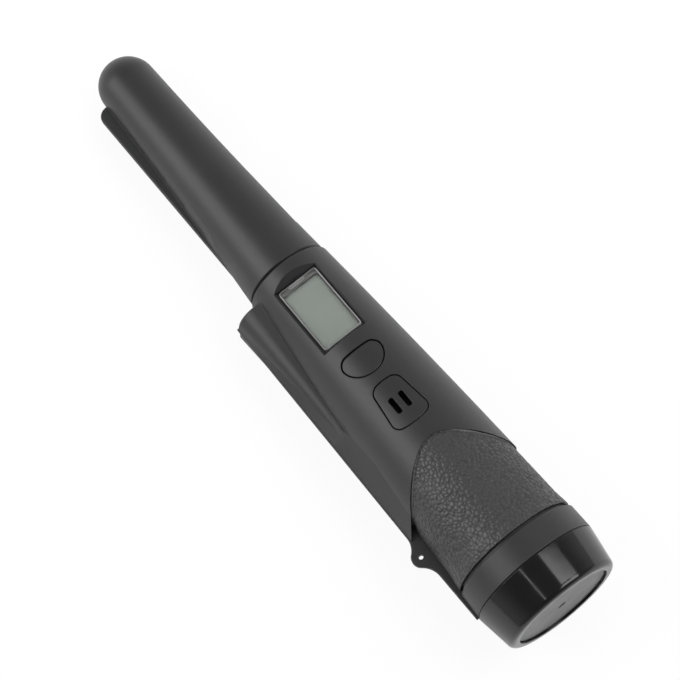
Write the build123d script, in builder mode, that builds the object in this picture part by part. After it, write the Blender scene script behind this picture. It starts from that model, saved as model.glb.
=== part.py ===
"""Hand-held metal-detecting pinpointer, as an assembly of separate pieces.

All lengths are millimetres. The origin is the centre of the battery cap's end face. +X runs along the
body to the probe's tip, +Z comes out of the display, and +Y points to the keel that carries the lanyard lug.
Pieces under the display are set out on the deck, a plane that follows the body's taper: u runs along it
from the cap to the tip, v is +Y, and w is the height above the straight line of the body's crest.
"""

import os
from math import acos, atan, atan2, cos, hypot, radians, sin, sqrt, tan

from build123d import *

# Clearances
slip = 0.1
seat_gap = 0.15
seam_gap = 0.4
cap_gap = 0.15
lamp_gap = 0.3
cut_margin = 2.0

# Battery cap and the end of the body
cap_length = 13.35
cap_rim_r = 21.95
cap_end_r = 20.25
cap_edge_r = 1.9
cap_floor = 3.3
end_disc_r = 16.6
end_disc_sink = 0.8
end_disc_thickness = 1.1
end_disc_groove = 0.25
dimple_r = 1.5
dimple_floor_r = 1.3
dimple_depth = 0.9
cap_seal_wire_r = 0.6
cap_seal_r = 19.9
collar_length = 8.6
collar_r = 21.95
collar_front_r = 21.75
collar_edge = 0.3
end_wall = 2.5
rest_rib_y = 7.0
rest_rib_width = 2.0
rest_rib_drop = 0.1
rest_rib_inset = 1.0
rest_rib_root = 0.5
rest_rib_edge = 0.4

# Battery and its compartment
battery_length = 46.4
battery_width = 26.5
battery_height = 17.5
battery_edge_r = 2.0
battery_pad_thickness = 2.65
battery_pad_r = 11.0
stud_height = 2.1
stud_r = 2.9
stud_spacing = 12.7
snap_thickness = 4.0
snap_length = 25.0
snap_width = 12.0
snap_room = 0.8
tube_wall = 1.0
tube_end_wall = 1.2
tube_flange = 1.7
tube_flange_thickness = 1.9
tube_lead_hole_r = 3.0
neck_length = 10.0

# Thread of the cap: one helical rib on the neck and one in the cap, half a pitch apart
thread_pitch = 3.5
thread_depth = 0.72
thread_gap = 0.25
thread_root = 1.4
thread_crest = 0.8
thread_bite = 0.13
thread_start = 1.0
neck_thread_turns = 1.75
cap_thread_turns = 1.5

# Body
wall = 2.2
body_front_r = 15.15
body_rear_r = 21.6
body_bulge = 0.46
body_lip = 0.5
nose_length = 6.2

# Things along the deck, from the battery to the nose
tube_to_board = 3.4
post_inset = 3.0
post_to_grille = 4.2
grille_length = 16.75
grille_front_width = 9.9
grille_rear_width = 13.6
grille_front_bow = 0.7
grille_rear_bow = 1.3
grille_corner_r = 3.0
grille_to_button = 4.25
button_length = 9.5
button_round_r = 7.25
button_corner_r = 3.0
button_to_window = 6.8
window_length = 25.3
window_width = 14.56

# Display window and its recess
window_depth = 1.9
window_thickness = 1.6
window_stand = 0.6
window_gap = 0.75
window_bevel = 0.35
window_corner_r = 1.0
window_ledge = 0.6
ledge_thickness = 0.7
recess_margin = 1.2
recess_end = 0.7
recess_slope = 1.15
recess_rear_end = 1.0
recess_rear_slope = 5.0
window_boss_wall = 1.6
window_boss_depth = 8.0

# Display module
cell_thickness = 2.2
cell_overlap = 0.45
frame_wall = 0.7
zebra_width = 1.6
zebra_inset = 1.1

# Main board
board_thickness = 1.6
board_width = 19.0
board_drop = 10.2
board_front_gap = 1.4
post_r = 1.7
post_v = 7.35
board_screw_r = 0.8
board_screw_head_r = 1.7
board_screw_head = 1.2
board_screw_grip = 3.0
controller_size = 10.0
amplifier_length = 6.0
amplifier_width = 4.4
amplifier_v = 4.2
chip_height = 1.4
chip_step = 4.0
capacitor_r = 2.5
capacitor_height = 6.0
capacitor_v = 5.6

# Button and switch
button_gap = 0.4
button_sink = 0.25
button_edge = 0.4
button_flange = 1.2
button_flange_thickness = 1.1
button_flange_drop = 4.9
button_travel = 0.5
switch_size = 6.0
switch_height = 3.0
switch_floor = 0.5
plunger_r = 1.7
plunger_slip = 0.06
dome_height = 0.3
dome_gap = 0.1

# Sounder
grille_gap = 0.3
grille_edge = 0.2
grille_flange = 1.0
grille_flange_thickness = 1.0
grille_flange_drop = 4.0
slot_length = 6.0
slot_width = 1.85
slot_spacing = 3.8
slot_corner_r = 0.75
slot_back = 7.8
buzzer_r = 7.0
buzzer_hole_r = 1.2
buzzer_wall = 0.8
piezo_thickness = 0.3
gasket_thickness = 0.9
gasket_r = 6.4
gasket_bore_r = 4.4

# Side with the keel: the lamp's hood beside the display, which fades into a flank along the grip
hood_front_y = 15.3
hood_front_r = 7.9
hood_lean = 8.0
hood_root_y = 9.0
hood_run = 50.0
hood_tail_y = 17.4
hood_tail_r = 4.05
flank_rise = 16.0
flank_bite = 0.3

# Lamp hull behind the hood, and the lamp in it
lamp_setback = 3.2
pod_straight = 30.0
pod_tail = 21.0
hull_y = 14.0
hull_z = -5.5
hull_taper = 1.4
lamp_edge = 0.5
lamp_y = 15.6
lamp_z = -6.2
lens_r = 3.2
lens_rim = 0.8
lens_rim_thickness = 1.2
lens_recess = 0.4
holder_length = 12.5
reflector_length = 5.2
reflector_wall = 0.5
led_r = 1.5
led_rim = 0.3
led_rim_thickness = 0.8
led_length = 5.3
lamp_board_thickness = 1.4

# Keel with the lanyard lug
keel_thickness = 2.0
keel_front_y = 23.6
keel_rear_y = 22.7
keel_edge = 0.35
lug_x = 39.3
lug_hole_r = 0.8
lug_hole_y = 23.9
lug_rim = 2.35
lug_flare_r = 7.0

# Grip pads
pad_thickness = 0.65
pad_sink = 0.65
pad_gap = 0.15
pad_bond = 0.05
pocket_reach = 4.0
grip_length = 40.3
grip_shoulder_angle = 28.0
grip_shoulder_drop = 4.0
grip_flank_angle = 58.0
grip_flank_drop = 11.2
grip_corner_drop = 19.2

# Probe
probe_length = 100.8
probe_root_r = 14.6
probe_middle_r = 11.9
tip_r = 10.26
tip_wall = 1.75
tip_join_angle = 0.0253
probe_bore_draft = 1.2
spigot_r = 11.4
spigot_flange = 1.5
spigot_flange_thickness = 1.5
spigot_flat_z = 2.6
seal_wire_r = 0.59
seal_groove_margin = 0.12
blade_root_height = 13.7
blade_height = 14.65
blade_thickness = 2.0
blade_front_inset = 11.6
blade_corner_r = 4.0
blade_edge = 0.5
blade_root_inset = 6.0
blade_root_cover = 1.0

# Search coil
rod_r = 4.0
rod_length = 60.0
bobbin_wall = 1.0
bobbin_margin = 4.0
bobbin_flange_thickness = 1.2
winding_r = 7.3
cushion_r = 4.5
cushion_length = 5.5

# Screws that hold the two shells together
screw_shank_r = 1.25
screw_length = 14.0
screw_head_r = 2.3
screw_head = 1.6
screw_seat_z = -8.0
screw_rear_y = 13.2
screw_front_y = 12.2
screw_rear_setback = 3.5
screw_front_setback = 20.6
front_boss_r = 2.35
rear_boss_r = 3.6
cross_width = 0.6
cross_length = 3.0

# Vibration motor
motor_r = 3.0
motor_length = 11.0
motor_setback = 36.6
motor_y = -4.5
motor_z = -8.5
motor_shaft_r = 0.5
motor_shaft_slip = 0.05
motor_shaft_depth = 3.0
motor_weight_r = 2.6
motor_weight_length = 3.2
motor_weight_gap = 0.9
boot_wall = 1.1
boot_inset = 1.0
saddle_inset = 2.0

# Wires
lead_r = 0.6
coil_lead_r = 0.9
lead_bend = 1.8
lead_run = 4.0
lead_side = 1.2
coil_lead_inset = 5.0
lamp_lead_v = 7.0

# Stations along the axis, from the cap to the tip
collar_rear_x = cap_length + cap_gap
collar_front_x = collar_rear_x + collar_length
battery_rear_x = cap_floor + battery_pad_thickness + cap_gap
battery_front_x = battery_rear_x + battery_length
snap_rear_x = battery_front_x + slip
snap_front_x = snap_rear_x + snap_thickness
tube_bore_front_x = snap_front_x + snap_room
tube_front_x = tube_bore_front_x + tube_end_wall
board_rear_u = tube_front_x + tube_to_board
rear_post_u = board_rear_u + post_inset
grille_rear_u = rear_post_u + post_to_grille
grille_front_u = grille_rear_u + grille_length
button_rear_u = grille_front_u + grille_to_button
button_front_u = button_rear_u + button_length
window_rear_u = button_front_u + button_to_window
window_front_u = window_rear_u + window_length
front_post_u = (button_front_u + window_rear_u) / 2
nose_rear_x = window_front_u + recess_end + slip
body_front_x = nose_rear_x + nose_length
probe_rear_x = body_front_x + seam_gap
tip_centre_x = probe_rear_x + probe_length - tip_r
overall_length = tip_centre_x + tip_r
lamp_front_x = body_front_x - lamp_setback
spigot_rear_x = nose_rear_x - slip
spigot_flange_x = spigot_rear_x - spigot_flange_thickness
lens_rear_x = spigot_flange_x - lamp_gap
motor_x = nose_rear_x - motor_setback

# The shells part along the keel's upper face
parting_z = keel_thickness / 2
keel_low_z = parting_z - keel_thickness

# Radii that follow from a fit
tube_bore_r = hypot(battery_width / 2, battery_height / 2) + 1.5 * slip
tube_r = tube_bore_r + tube_wall
cap_bore_r = tube_r + thread_depth + thread_gap
nose_bore_r = spigot_r + slip
pocket_depth = pad_sink + pad_thickness

# The deck plane, along the straight line of the body's crest
taper_tangent = (body_rear_r - body_front_r) / (body_front_x - collar_front_x)
taper = atan(taper_tangent)
crest_at_origin = body_front_r + body_front_x * taper_tangent
deck = Plane(
    origin=(0, 0, crest_at_origin),
    x_dir=(cos(taper), 0, -sin(taper)),
    z_dir=(sin(taper), 0, cos(taper)),
)

# The body's side is one shallow arc from the nose to the collar
chord = hypot(body_front_x - collar_front_x, body_rear_r - body_front_r)
side_arc_r = (chord**2 / 4 + body_bulge**2) / (2 * body_bulge)
side_arc_x = (body_front_x + collar_front_x) / 2 - (side_arc_r - body_bulge) * sin(taper)
side_arc_y = (body_front_r + body_rear_r) / 2 - (side_arc_r - body_bulge) * cos(taper)


def body_radius(x, inset=0.0):
    """Radius of the body's side at x, drawn in by inset."""
    return side_arc_y + sqrt((side_arc_r - inset) ** 2 - (x - side_arc_x) ** 2)


# The surface that the ribs under the collar and the tip lie on slopes up to the tip,
# and the lamp hull just meets it
rest_rib_low_z = -collar_r - rest_rib_drop
rest_slope = (-tip_r - rest_rib_low_z) / (tip_centre_x - collar_rear_x)
rest_z = rest_rib_low_z + rest_slope * (lamp_front_x - collar_rear_x)
hull_r = hull_z - rest_z
hull_tail_r = hull_r - hull_taper
hood_straight_r = hood_front_r - (hood_front_r - hood_tail_r) * pod_straight / hood_run
lamp_place = Location((0, lamp_y, lamp_z))


def turned(points, axis=Axis.X):
    """Closed outline of (x, y) corners turned about an axis."""
    with BuildPart() as form:
        with BuildSketch(Plane.XY):
            with BuildLine():
                Polyline(*points, close=True)
            make_face()
        revolve(axis=axis)
    return form.part


def drum(rear_x, front_x, outer_r, inner_r=0.0):
    """Drum or ring on the long axis."""
    return turned([(rear_x, inner_r), (front_x, inner_r), (front_x, outer_r), (rear_x, outer_r)])


def lamp_axis(y, z):
    """Axis of the lamp housing, parallel to the body."""
    return Axis((0, y, z), (1, 0, 0))


def body_band(rear_x, front_x, deep, shallow):
    """Ring that follows the body's side between two depths."""
    middle_x = (rear_x + front_x) / 2
    with BuildPart() as band:
        with BuildSketch(Plane.XY):
            with BuildLine():
                outer = ThreePointArc(
                    (rear_x, body_radius(rear_x, shallow)),
                    (middle_x, body_radius(middle_x, shallow)),
                    (front_x, body_radius(front_x, shallow)),
                )
                inner = ThreePointArc(
                    (rear_x, body_radius(rear_x, deep)),
                    (middle_x, body_radius(middle_x, deep)),
                    (front_x, body_radius(front_x, deep)),
                )
                Line(outer @ 0, inner @ 0)
                Line(outer @ 1, inner @ 1)
            make_face()
        revolve(axis=Axis.X)
    return band.part


def body_core(rear_x, front_x, inset, lip=0.0):
    """Solid of the body's side from rear_x to front_x, with a chamfer of lip at the front."""
    arc_front_x = front_x - lip
    middle_x = (rear_x + arc_front_x) / 2
    with BuildPart() as core:
        with BuildSketch(Plane.XY):
            with BuildLine():
                side = ThreePointArc(
                    (rear_x, body_radius(rear_x, inset)),
                    (middle_x, body_radius(middle_x, inset)),
                    (arc_front_x, body_radius(arc_front_x, inset)),
                )
                Polyline(
                    side @ 1,
                    (front_x, body_radius(front_x, inset) - lip),
                    (front_x, 0),
                    (rear_x, 0),
                    side @ 0,
                )
            make_face()
        revolve(axis=Axis.X)
    return core.part


def lamp_pod(y, z, front_x, front_r, tail_r):
    """Round pod beside the body: a slow taper, then a round tail."""
    tail_x = lamp_front_x - pod_straight
    end_x = tail_x - pod_tail
    with BuildPart() as pod:
        with BuildSketch(Plane.XY):
            with BuildLine():
                Polyline(
                    (end_x, y),
                    (front_x, y),
                    (front_x, y + front_r - lamp_edge),
                    (front_x - lamp_edge, y + front_r),
                    (tail_x, y + tail_r),
                )
                EllipticalCenterArc((tail_x, y), pod_tail, tail_r, 90, arc_size=90)
            make_face()
        revolve(axis=lamp_axis(y, 0))
    return pod.part.moved(Location((0, 0, z)))


def round_point(centre_y, radius, angle):
    """Point (y, z) at an angle of the round that is centred at centre_y in the middle plane."""
    return centre_y + radius * cos(angle), radius * sin(angle)


def keel_touch(centre_y, radius, inset):
    """Place of the keel's edge, and the angle at which a line from it just touches the round."""
    half_edge = keel_thickness / 2
    edge_y = max(keel_front_y - keel_edge - inset, centre_y + radius + slip)
    reach = hypot(edge_y - centre_y, half_edge)
    return edge_y, atan2(half_edge, edge_y - centre_y) + acos(radius / reach)


def hood_section(x, centre_y, radius, inset):
    """Section of the hood at x: over a round from the keel's edge, then straight, leaning into the body."""
    half_edge = keel_thickness / 2
    edge_y, touch_angle = keel_touch(centre_y, radius, inset)
    top_angle = radians(90 - hood_lean)
    touch_y, touch_z = round_point(centre_y, radius, touch_angle)
    middle_y, middle_z = round_point(centre_y, radius, (touch_angle + top_angle) / 2)
    top_y, top_z = round_point(centre_y, radius, top_angle)
    root_z = top_z + (top_y - hood_root_y) * tan(radians(hood_lean))
    with BuildSketch(Plane.YZ.offset(x)) as section:
        with BuildLine():
            ThreePointArc((touch_y, touch_z), (middle_y, middle_z), (top_y, top_z))
            Polyline((top_y, top_z), (hood_root_y, root_z), (hood_root_y, -root_z), (top_y, -top_z))
            ThreePointArc((top_y, -top_z), (middle_y, -middle_z), (touch_y, -touch_z))
            Polyline((touch_y, -touch_z), (edge_y, -half_edge), (edge_y, half_edge), (touch_y, touch_z))
        make_face()
    return section.sketch


def flank_section(x, centre_y, radius, inset):
    """Teardrop section of the flank at x: a round that is drawn out to the keel's edge."""
    half_edge = keel_thickness / 2
    edge_y, touch_angle = keel_touch(centre_y, radius, inset)
    touch_y, touch_z = round_point(centre_y, radius, touch_angle)
    with BuildSketch(Plane.YZ.offset(x)) as section:
        with BuildLine():
            ThreePointArc((touch_y, touch_z), (centre_y - radius, 0), (touch_y, -touch_z))
            Polyline((touch_y, -touch_z), (edge_y, -half_edge), (edge_y, half_edge), (touch_y, touch_z))
        make_face()
    return section.sketch


def side_form(inset):
    """Side with the keel: the hood sinks into the body, then a flank follows the body's own round."""
    front_x = lamp_front_x - inset
    front_r = hood_front_r - inset
    hood_end_x = lamp_front_x - hood_run
    flank_x = hood_end_x - flank_rise
    hood_sections = [
        hood_section(hood_end_x, hood_tail_y, hood_tail_r - inset, inset),
        hood_section(front_x - lamp_edge, hood_front_y, front_r, inset),
        hood_section(front_x, hood_front_y, front_r - lamp_edge, inset + lamp_edge),
    ]
    flank_sections = [
        flank_section(lug_x, 0, body_radius(lug_x, inset) - flank_bite, inset),
        flank_section(flank_x, 0, body_radius(flank_x, inset) - flank_bite, inset),
        flank_section(hood_end_x, hood_tail_y, hood_tail_r - inset, inset),
    ]
    with BuildPart() as form:
        loft(hood_sections, ruled=True)
        loft(flank_sections, ruled=True)
    return form.part


def lamp_ring(rear_x, front_x, outer_r, inner_r=0.0):
    """Drum or ring on the lamp's axis."""
    return drum(rear_x, front_x, outer_r, inner_r).moved(lamp_place)


def outer_form(inset=0.0):
    """Outside of the body with the lamp's hood and hull, as one solid drawn in by inset."""
    front_x = body_front_x - inset
    pod_x = lamp_front_x - inset
    rim_r = collar_r - inset
    rim_front_r = collar_front_r - inset
    with BuildPart() as form:
        add(body_core(collar_front_x, front_x, inset, body_lip))
        add(
            turned(
                [
                    (collar_rear_x, 0),
                    (collar_front_x, 0),
                    (collar_front_x, rim_front_r - collar_edge),
                    (collar_front_x - collar_edge, rim_front_r),
                    (collar_rear_x + collar_edge / 2, rim_r),
                    (collar_rear_x, rim_r - collar_edge / 2),
                ]
            )
        )
        add(side_form(inset))
        add(lamp_pod(hull_y, hull_z, pod_x, hull_r - inset, hull_tail_r - inset))
    return form.part


def inner_form():
    """Hollow of the body, one wall inside its outside, with the nose bore and the end opening."""
    with BuildPart() as form:
        add(body_core(collar_front_x, nose_rear_x, wall))
        add(drum(collar_rear_x + end_wall, collar_front_x, body_radius(collar_front_x, wall)))
        add(drum(nose_rear_x, body_front_x, nose_bore_r))
        add(drum(collar_rear_x, collar_rear_x + end_wall, tube_r + slip))
        add(lamp_pod(hood_front_y, 0.0, lens_rear_x, hood_front_r - wall, hood_straight_r - wall))
        add(lamp_pod(hull_y, hull_z, lens_rear_x, hull_r - wall, hull_tail_r - wall))
    return form.part


def half_space(z, up):
    """Slab that covers everything above or below a level."""
    depth = 4 * collar_r
    with BuildPart() as slab:
        with BuildSketch(Plane.XY.offset(z)):
            with Locations((overall_length / 2, 0)):
                Rectangle(2 * overall_length, 2 * depth)
        extrude(amount=depth if up else -depth)
    return slab.part


def deck_slab(rear_u, front_u, width, low_w, high_w):
    """Box on the deck, from rear_u to front_u and centred across it."""
    with BuildPart() as slab:
        with BuildSketch(deck.offset(low_w)):
            with Locations(((rear_u + front_u) / 2, 0)):
                Rectangle(front_u - rear_u, width)
        extrude(amount=high_w - low_w)
    return slab.part


def deck_post(u, v, radius, low_w, high_w):
    """Round post that stands on the deck."""
    with BuildPart() as post:
        with BuildSketch(deck.offset(low_w)):
            with Locations((u, v)):
                Circle(radius)
        extrude(amount=high_w - low_w)
    return post.part


def upright(x, y, radius, low_z, high_z):
    """Round post along Z."""
    with BuildPart() as post:
        with BuildSketch(Plane.XY.offset(low_z)):
            with Locations((x, y)):
                Circle(radius)
        extrude(amount=high_z - low_z)
    return post.part


def grip_outline(low_z, up, margin):
    """Prism of the grip pad's arched outline, from low_z away from the parting plane."""
    apex_x = collar_front_x + grip_length - margin
    corner_x = apex_x - grip_corner_drop
    shoulder_x = apex_x - grip_shoulder_drop
    flank_x = apex_x - grip_flank_drop
    corner_y = body_radius(corner_x) + pocket_reach
    shoulder_y = body_radius(shoulder_x) * sin(radians(grip_shoulder_angle))
    flank_y = body_radius(flank_x) * sin(radians(grip_flank_angle))
    with BuildPart() as prism:
        with BuildSketch(Plane.XY.offset(low_z)):
            with BuildLine():
                Spline(
                    (corner_x, -corner_y),
                    (flank_x, -flank_y),
                    (shoulder_x, -shoulder_y),
                    (apex_x, 0),
                    (shoulder_x, shoulder_y),
                    (flank_x, flank_y),
                    (corner_x, corner_y),
                )
                Polyline(
                    (corner_x, corner_y),
                    (collar_front_x + margin, corner_y),
                    (collar_front_x + margin, -corner_y),
                    (corner_x, -corner_y),
                )
            make_face()
        extrude(amount=(2 if up else -2) * collar_r)
    return prism.part


def grip_skin(deep, shallow, low_z, up, margin):
    """Skin of the grip between two depths, inside the arched outline."""
    with BuildPart() as skin:
        add(body_band(collar_front_x, collar_front_x + grip_length + cut_margin, deep, shallow))
        add(grip_outline(low_z, up, margin), mode=Mode.INTERSECT)
    return skin.part


def rear_grip_skin(deep, shallow, margin):
    """Skin of the grip's back: it ends under the keel, and at the parting on the other side."""
    with BuildPart() as skin:
        add(grip_skin(deep, shallow, parting_z - margin, False, margin))
        with BuildSketch(Plane.YZ):
            with Locations((collar_r, keel_low_z - margin + collar_r)):
                Rectangle(2 * collar_r, 2 * collar_r)
        extrude(amount=overall_length, mode=Mode.SUBTRACT)
    return skin.part


def lead(route, radius):
    """Round wire along straight runs joined by arcs."""
    with BuildPart() as wire:
        with BuildLine() as path:
            FilletPolyline(*route, radius=lead_bend)
        with BuildSketch(Plane(origin=path.line @ 0, z_dir=path.line % 0)):
            Circle(radius)
        sweep()
    return wire.part


def on_deck(u, v, w):
    """Point of the deck in the part's frame."""
    return deck.from_local_coords(Vector(u, v, w))


def blade_plate():
    """Scraper blade: a flat fin along the probe, rooted in the probe's wall."""
    root_x = probe_rear_x + blade_root_inset
    root_y = tip_r - tip_wall + probe_bore_draft + blade_root_cover
    tip_y = tip_r - tip_wall / 2
    front_x = overall_length - blade_front_inset
    with BuildPart() as plate:
        with BuildSketch(Plane.XY.offset(-blade_thickness / 2)) as outline:
            with BuildLine():
                Polyline(
                    (root_x, root_y),
                    (front_x, tip_y),
                    (front_x, blade_height),
                    (root_x, blade_root_height),
                    close=True,
                )
            make_face()
            fillet(outline.vertices().sort_by(Axis.X)[-2:].sort_by(Axis.Y)[-1], blade_corner_r)
        extrude(amount=blade_thickness)
        rims = plate.edges().group_by(Axis.Z)
        fillet(rims[0] + rims[-1], blade_edge)
    return plate.part


def thread_rib(start_x, turns, wall_r, crest_r):
    """Right-hand helical rib that stands on the wall at wall_r and reaches crest_r."""
    foot_r = wall_r - thread_bite if crest_r > wall_r else wall_r + thread_bite
    rise = crest_r - foot_r
    with BuildPart() as rib:
        with BuildLine() as path:
            Helix(thread_pitch, thread_pitch * turns, foot_r, center=(start_x, 0, 0), direction=(1, 0, 0))
        with BuildSketch(Plane(origin=path.line @ 0, x_dir=(1, 0, 0), z_dir=(0, -1, 0))):
            with BuildLine():
                Polyline(
                    (-thread_root / 2, 0),
                    (thread_root / 2, 0),
                    (thread_crest / 2, rise),
                    (-thread_crest / 2, rise),
                    close=True,
                )
            make_face()
        sweep(is_frenet=True)
    return rib.part


def battery_lead(side_y):
    """Wire from the battery snap, through the tube's end, to the main board."""
    return lead(
        [
            (snap_front_x, side_y, 0),
            (tube_front_x + lead_run / 2, side_y, 0),
            on_deck(battery_lead_u, side_y, board_low_w - lead_run),
            on_deck(battery_lead_u, side_y, board_low_w),
        ],
        lead_r,
    )


# Heights on the deck
window_top_w = -window_depth
window_low_w = window_top_w - window_thickness
recess_w = window_top_w - window_stand
cell_top_w = window_low_w - ledge_thickness
cell_low_w = cell_top_w - cell_thickness
board_top_w = -board_drop
board_low_w = board_top_w - board_thickness
button_low_w = -button_flange_drop - button_flange_thickness
switch_top_w = board_top_w + switch_height
switch_bore_w = board_top_w + switch_floor
grille_low_w = -grille_flange_drop - grille_flange_thickness
buzzer_top_w = grille_low_w - gasket_thickness
above_w = cut_margin + body_bulge

# Places on the deck
window_mid_u = (window_rear_u + window_front_u) / 2
button_centre_u = button_rear_u + button_round_r
board_front_u = nose_rear_x - spigot_flange_thickness - board_front_gap
buzzer_u = grille_rear_u + slot_back
cell_length = window_length - 2 * window_ledge + 2 * cell_overlap
cell_width = window_width - 2 * window_ledge + 2 * cell_overlap
frame_length = cell_length + 2 * slip + 2 * frame_wall
frame_width = cell_width + 2 * slip + 2 * frame_wall
post_places = [(rear_post_u, post_v), (rear_post_u, -post_v), (front_post_u, post_v), (front_post_u, -post_v)]
screw_rear_x = grille_rear_u + screw_rear_setback
screw_front_x = nose_rear_x - screw_front_setback
screw_places = [
    (screw_rear_x, screw_rear_y),
    (screw_rear_x, -screw_rear_y),
    (screw_front_x, screw_front_y),
    (screw_front_x, -screw_front_y),
]


def button_outline(low_w, high_w, margin):
    """Prism of the button: a round key with its tip side cut flat and the two corners rounded."""
    with BuildPart() as prism:
        with BuildSketch(deck.offset(low_w)) as outline:
            with Locations((button_centre_u, 0)):
                Circle(button_round_r + margin)
            reach = 2 * button_round_r
            with Locations((button_front_u + margin + reach, 0)):
                Rectangle(2 * reach, 2 * reach, mode=Mode.SUBTRACT)
            fillet(outline.vertices(), button_corner_r + margin)
        extrude(amount=high_w - low_w)
    return prism.part


def grille_outline(low_w, high_w, margin):
    """Prism of the sounder grille: a rounded trapezoid with bowed ends."""
    front_u = grille_front_u + margin
    rear_u = grille_rear_u - margin
    front_corner_u = front_u - grille_front_bow
    rear_corner_u = rear_u + grille_rear_bow
    front_v = grille_front_width / 2 + margin
    rear_v = grille_rear_width / 2 + margin
    with BuildPart() as prism:
        with BuildSketch(deck.offset(low_w)) as outline:
            with BuildLine():
                front_end = ThreePointArc((front_corner_u, -front_v), (front_u, 0), (front_corner_u, front_v))
                rear_end = ThreePointArc((rear_corner_u, rear_v), (rear_u, 0), (rear_corner_u, -rear_v))
                Line(front_end @ 1, rear_end @ 0)
                Line(rear_end @ 1, front_end @ 0)
            make_face()
            fillet(outline.vertices(), grille_corner_r + margin)
        extrude(amount=high_w - low_w)
    return prism.part


def recess_cut():
    """Sunk panel round the window: flat floor, a steep wall behind it and a slope towards the tip."""
    rise = above_w - recess_w
    rear_u = window_rear_u - recess_rear_end
    front_u = window_front_u + recess_end
    panel = Plane(origin=deck.origin, x_dir=deck.x_dir, z_dir=(0, -1, 0))
    with BuildPart() as cut:
        with BuildSketch(panel):
            with BuildLine():
                Polyline(
                    (rear_u, recess_w),
                    (front_u, recess_w),
                    (front_u + rise / recess_slope, above_w),
                    (rear_u - rise / recess_rear_slope, above_w),
                    close=True,
                )
            make_face()
        extrude(amount=window_width / 2 + recess_margin, both=True)
    return cut.part


def window_prism(low_w, high_w, margin):
    """Prism of the window's outline, grown by margin."""
    return deck_slab(
        window_rear_u - margin, window_front_u + margin, window_width + 2 * margin, low_w, high_w
    )


outside = outer_form()
mid_wall = outer_form(wall / 2)
hollow = inner_form()

# Front shell: display side, with the window recess, the button and grille holes and the board posts
with BuildPart() as front_shell:
    add(outside)
    add(hollow, mode=Mode.SUBTRACT)
    add(
        deck_slab(
            window_mid_u - frame_length / 2 - window_boss_wall,
            nose_rear_x + slip,
            frame_width + 2 * window_boss_wall,
            -window_boss_depth,
            above_w,
        )
        & mid_wall
    )
    for post_u, post_side in post_places:
        add(deck_post(post_u, post_side, post_r, board_top_w, above_w) & mid_wall)
    for screw_x, screw_y in screw_places:
        add(upright(screw_x, screw_y, front_boss_r, parting_z, collar_r) & mid_wall)
    add(half_space(parting_z, up=False), mode=Mode.SUBTRACT)
    add(recess_cut(), mode=Mode.SUBTRACT)
    add(window_prism(window_low_w, above_w, window_gap), mode=Mode.SUBTRACT)
    add(window_prism(board_low_w, above_w, -window_ledge), mode=Mode.SUBTRACT)
    add(
        deck_slab(
            window_mid_u - frame_length / 2 - seat_gap,
            window_mid_u + frame_length / 2 + seat_gap,
            frame_width + 2 * seat_gap,
            -2 * collar_r,
            cell_top_w,
        ),
        mode=Mode.SUBTRACT,
    )
    add(button_outline(board_top_w, above_w, button_gap), mode=Mode.SUBTRACT)
    add(grille_outline(board_top_w, above_w, grille_gap), mode=Mode.SUBTRACT)
    add(grip_skin(pocket_depth, -pocket_reach, parting_z, True, 0.0), mode=Mode.SUBTRACT)
    for post_u, post_side in post_places:
        hole_top_w = board_low_w + board_thickness + board_screw_grip + slip
        add(
            deck_post(post_u, post_side, board_screw_r + slip, board_low_w, hole_top_w),
            mode=Mode.SUBTRACT,
        )
    for screw_x, screw_y in screw_places:
        pilot_top_z = screw_seat_z + screw_length + slip
        add(
            upright(screw_x, screw_y, screw_shank_r + slip / 2, parting_z, pilot_top_z),
            mode=Mode.SUBTRACT,
        )
front_shell.part.label = "front_shell"

# Keel: a flat fin in the middle plane that swells into the lanyard lug
lug_r = lug_hole_r + lug_rim
with BuildPart() as keel:
    with BuildSketch(Plane.XY.offset(keel_low_z)) as keel_outline:
        with BuildLine():
            Polyline(
                (collar_rear_x, body_front_r / 2),
                (lamp_front_x, body_front_r / 2),
                (lamp_front_x, keel_front_y),
                (lug_x, keel_front_y),
                (lug_x, keel_front_y - (keel_front_y - keel_rear_y) / 2),
                (collar_rear_x, keel_rear_y),
                close=True,
            )
        make_face()
        with Locations((lug_x, lug_hole_y)):
            Circle(lug_r)
        lug_centre = Vector(lug_x, lug_hole_y)
        lug_corners = [
            corner
            for corner in keel_outline.vertices()
            if (Vector(*corner) - lug_centre).length < lug_r + slip
        ]
        fillet(lug_corners, lug_flare_r)
    extrude(amount=keel_thickness)
    rims = keel.edges().group_by(Axis.Z)
    fillet(rims[0] + rims[-1], keel_edge)

# Two low ribs under the collar, so that the tool doesn't roll on a table
collar_mid_x = (collar_rear_x + collar_front_x) / 2
rest_rib_top_z = rest_rib_root - sqrt(collar_r**2 - (rest_rib_y + rest_rib_width / 2) ** 2)
with BuildPart() as rest_ribs:
    with BuildSketch(Plane.XY.offset(rest_rib_low_z)):
        with Locations((collar_mid_x, rest_rib_y), (collar_mid_x, -rest_rib_y)):
            SlotOverall(collar_length - 2 * rest_rib_inset, rest_rib_width)
    extrude(amount=rest_rib_top_z - rest_rib_low_z)
    fillet(rest_ribs.edges().group_by(Axis.Z)[0], rest_rib_edge)

# Saddle that the vibration motor lies in
saddle_rear_x = motor_x + saddle_inset
saddle_front_x = motor_x + motor_length - saddle_inset
saddle_r = motor_r + boot_wall + seat_gap
with BuildPart() as saddle:
    with BuildSketch(Plane.YZ.offset(saddle_rear_x)):
        with Locations((motor_y, (motor_z - collar_r) / 2)):
            Rectangle(2 * saddle_r + 2 * boot_wall, collar_r + motor_z)
        with Locations((motor_y, motor_z)):
            Circle(saddle_r, mode=Mode.SUBTRACT)
    extrude(amount=saddle_front_x - saddle_rear_x)

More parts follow.
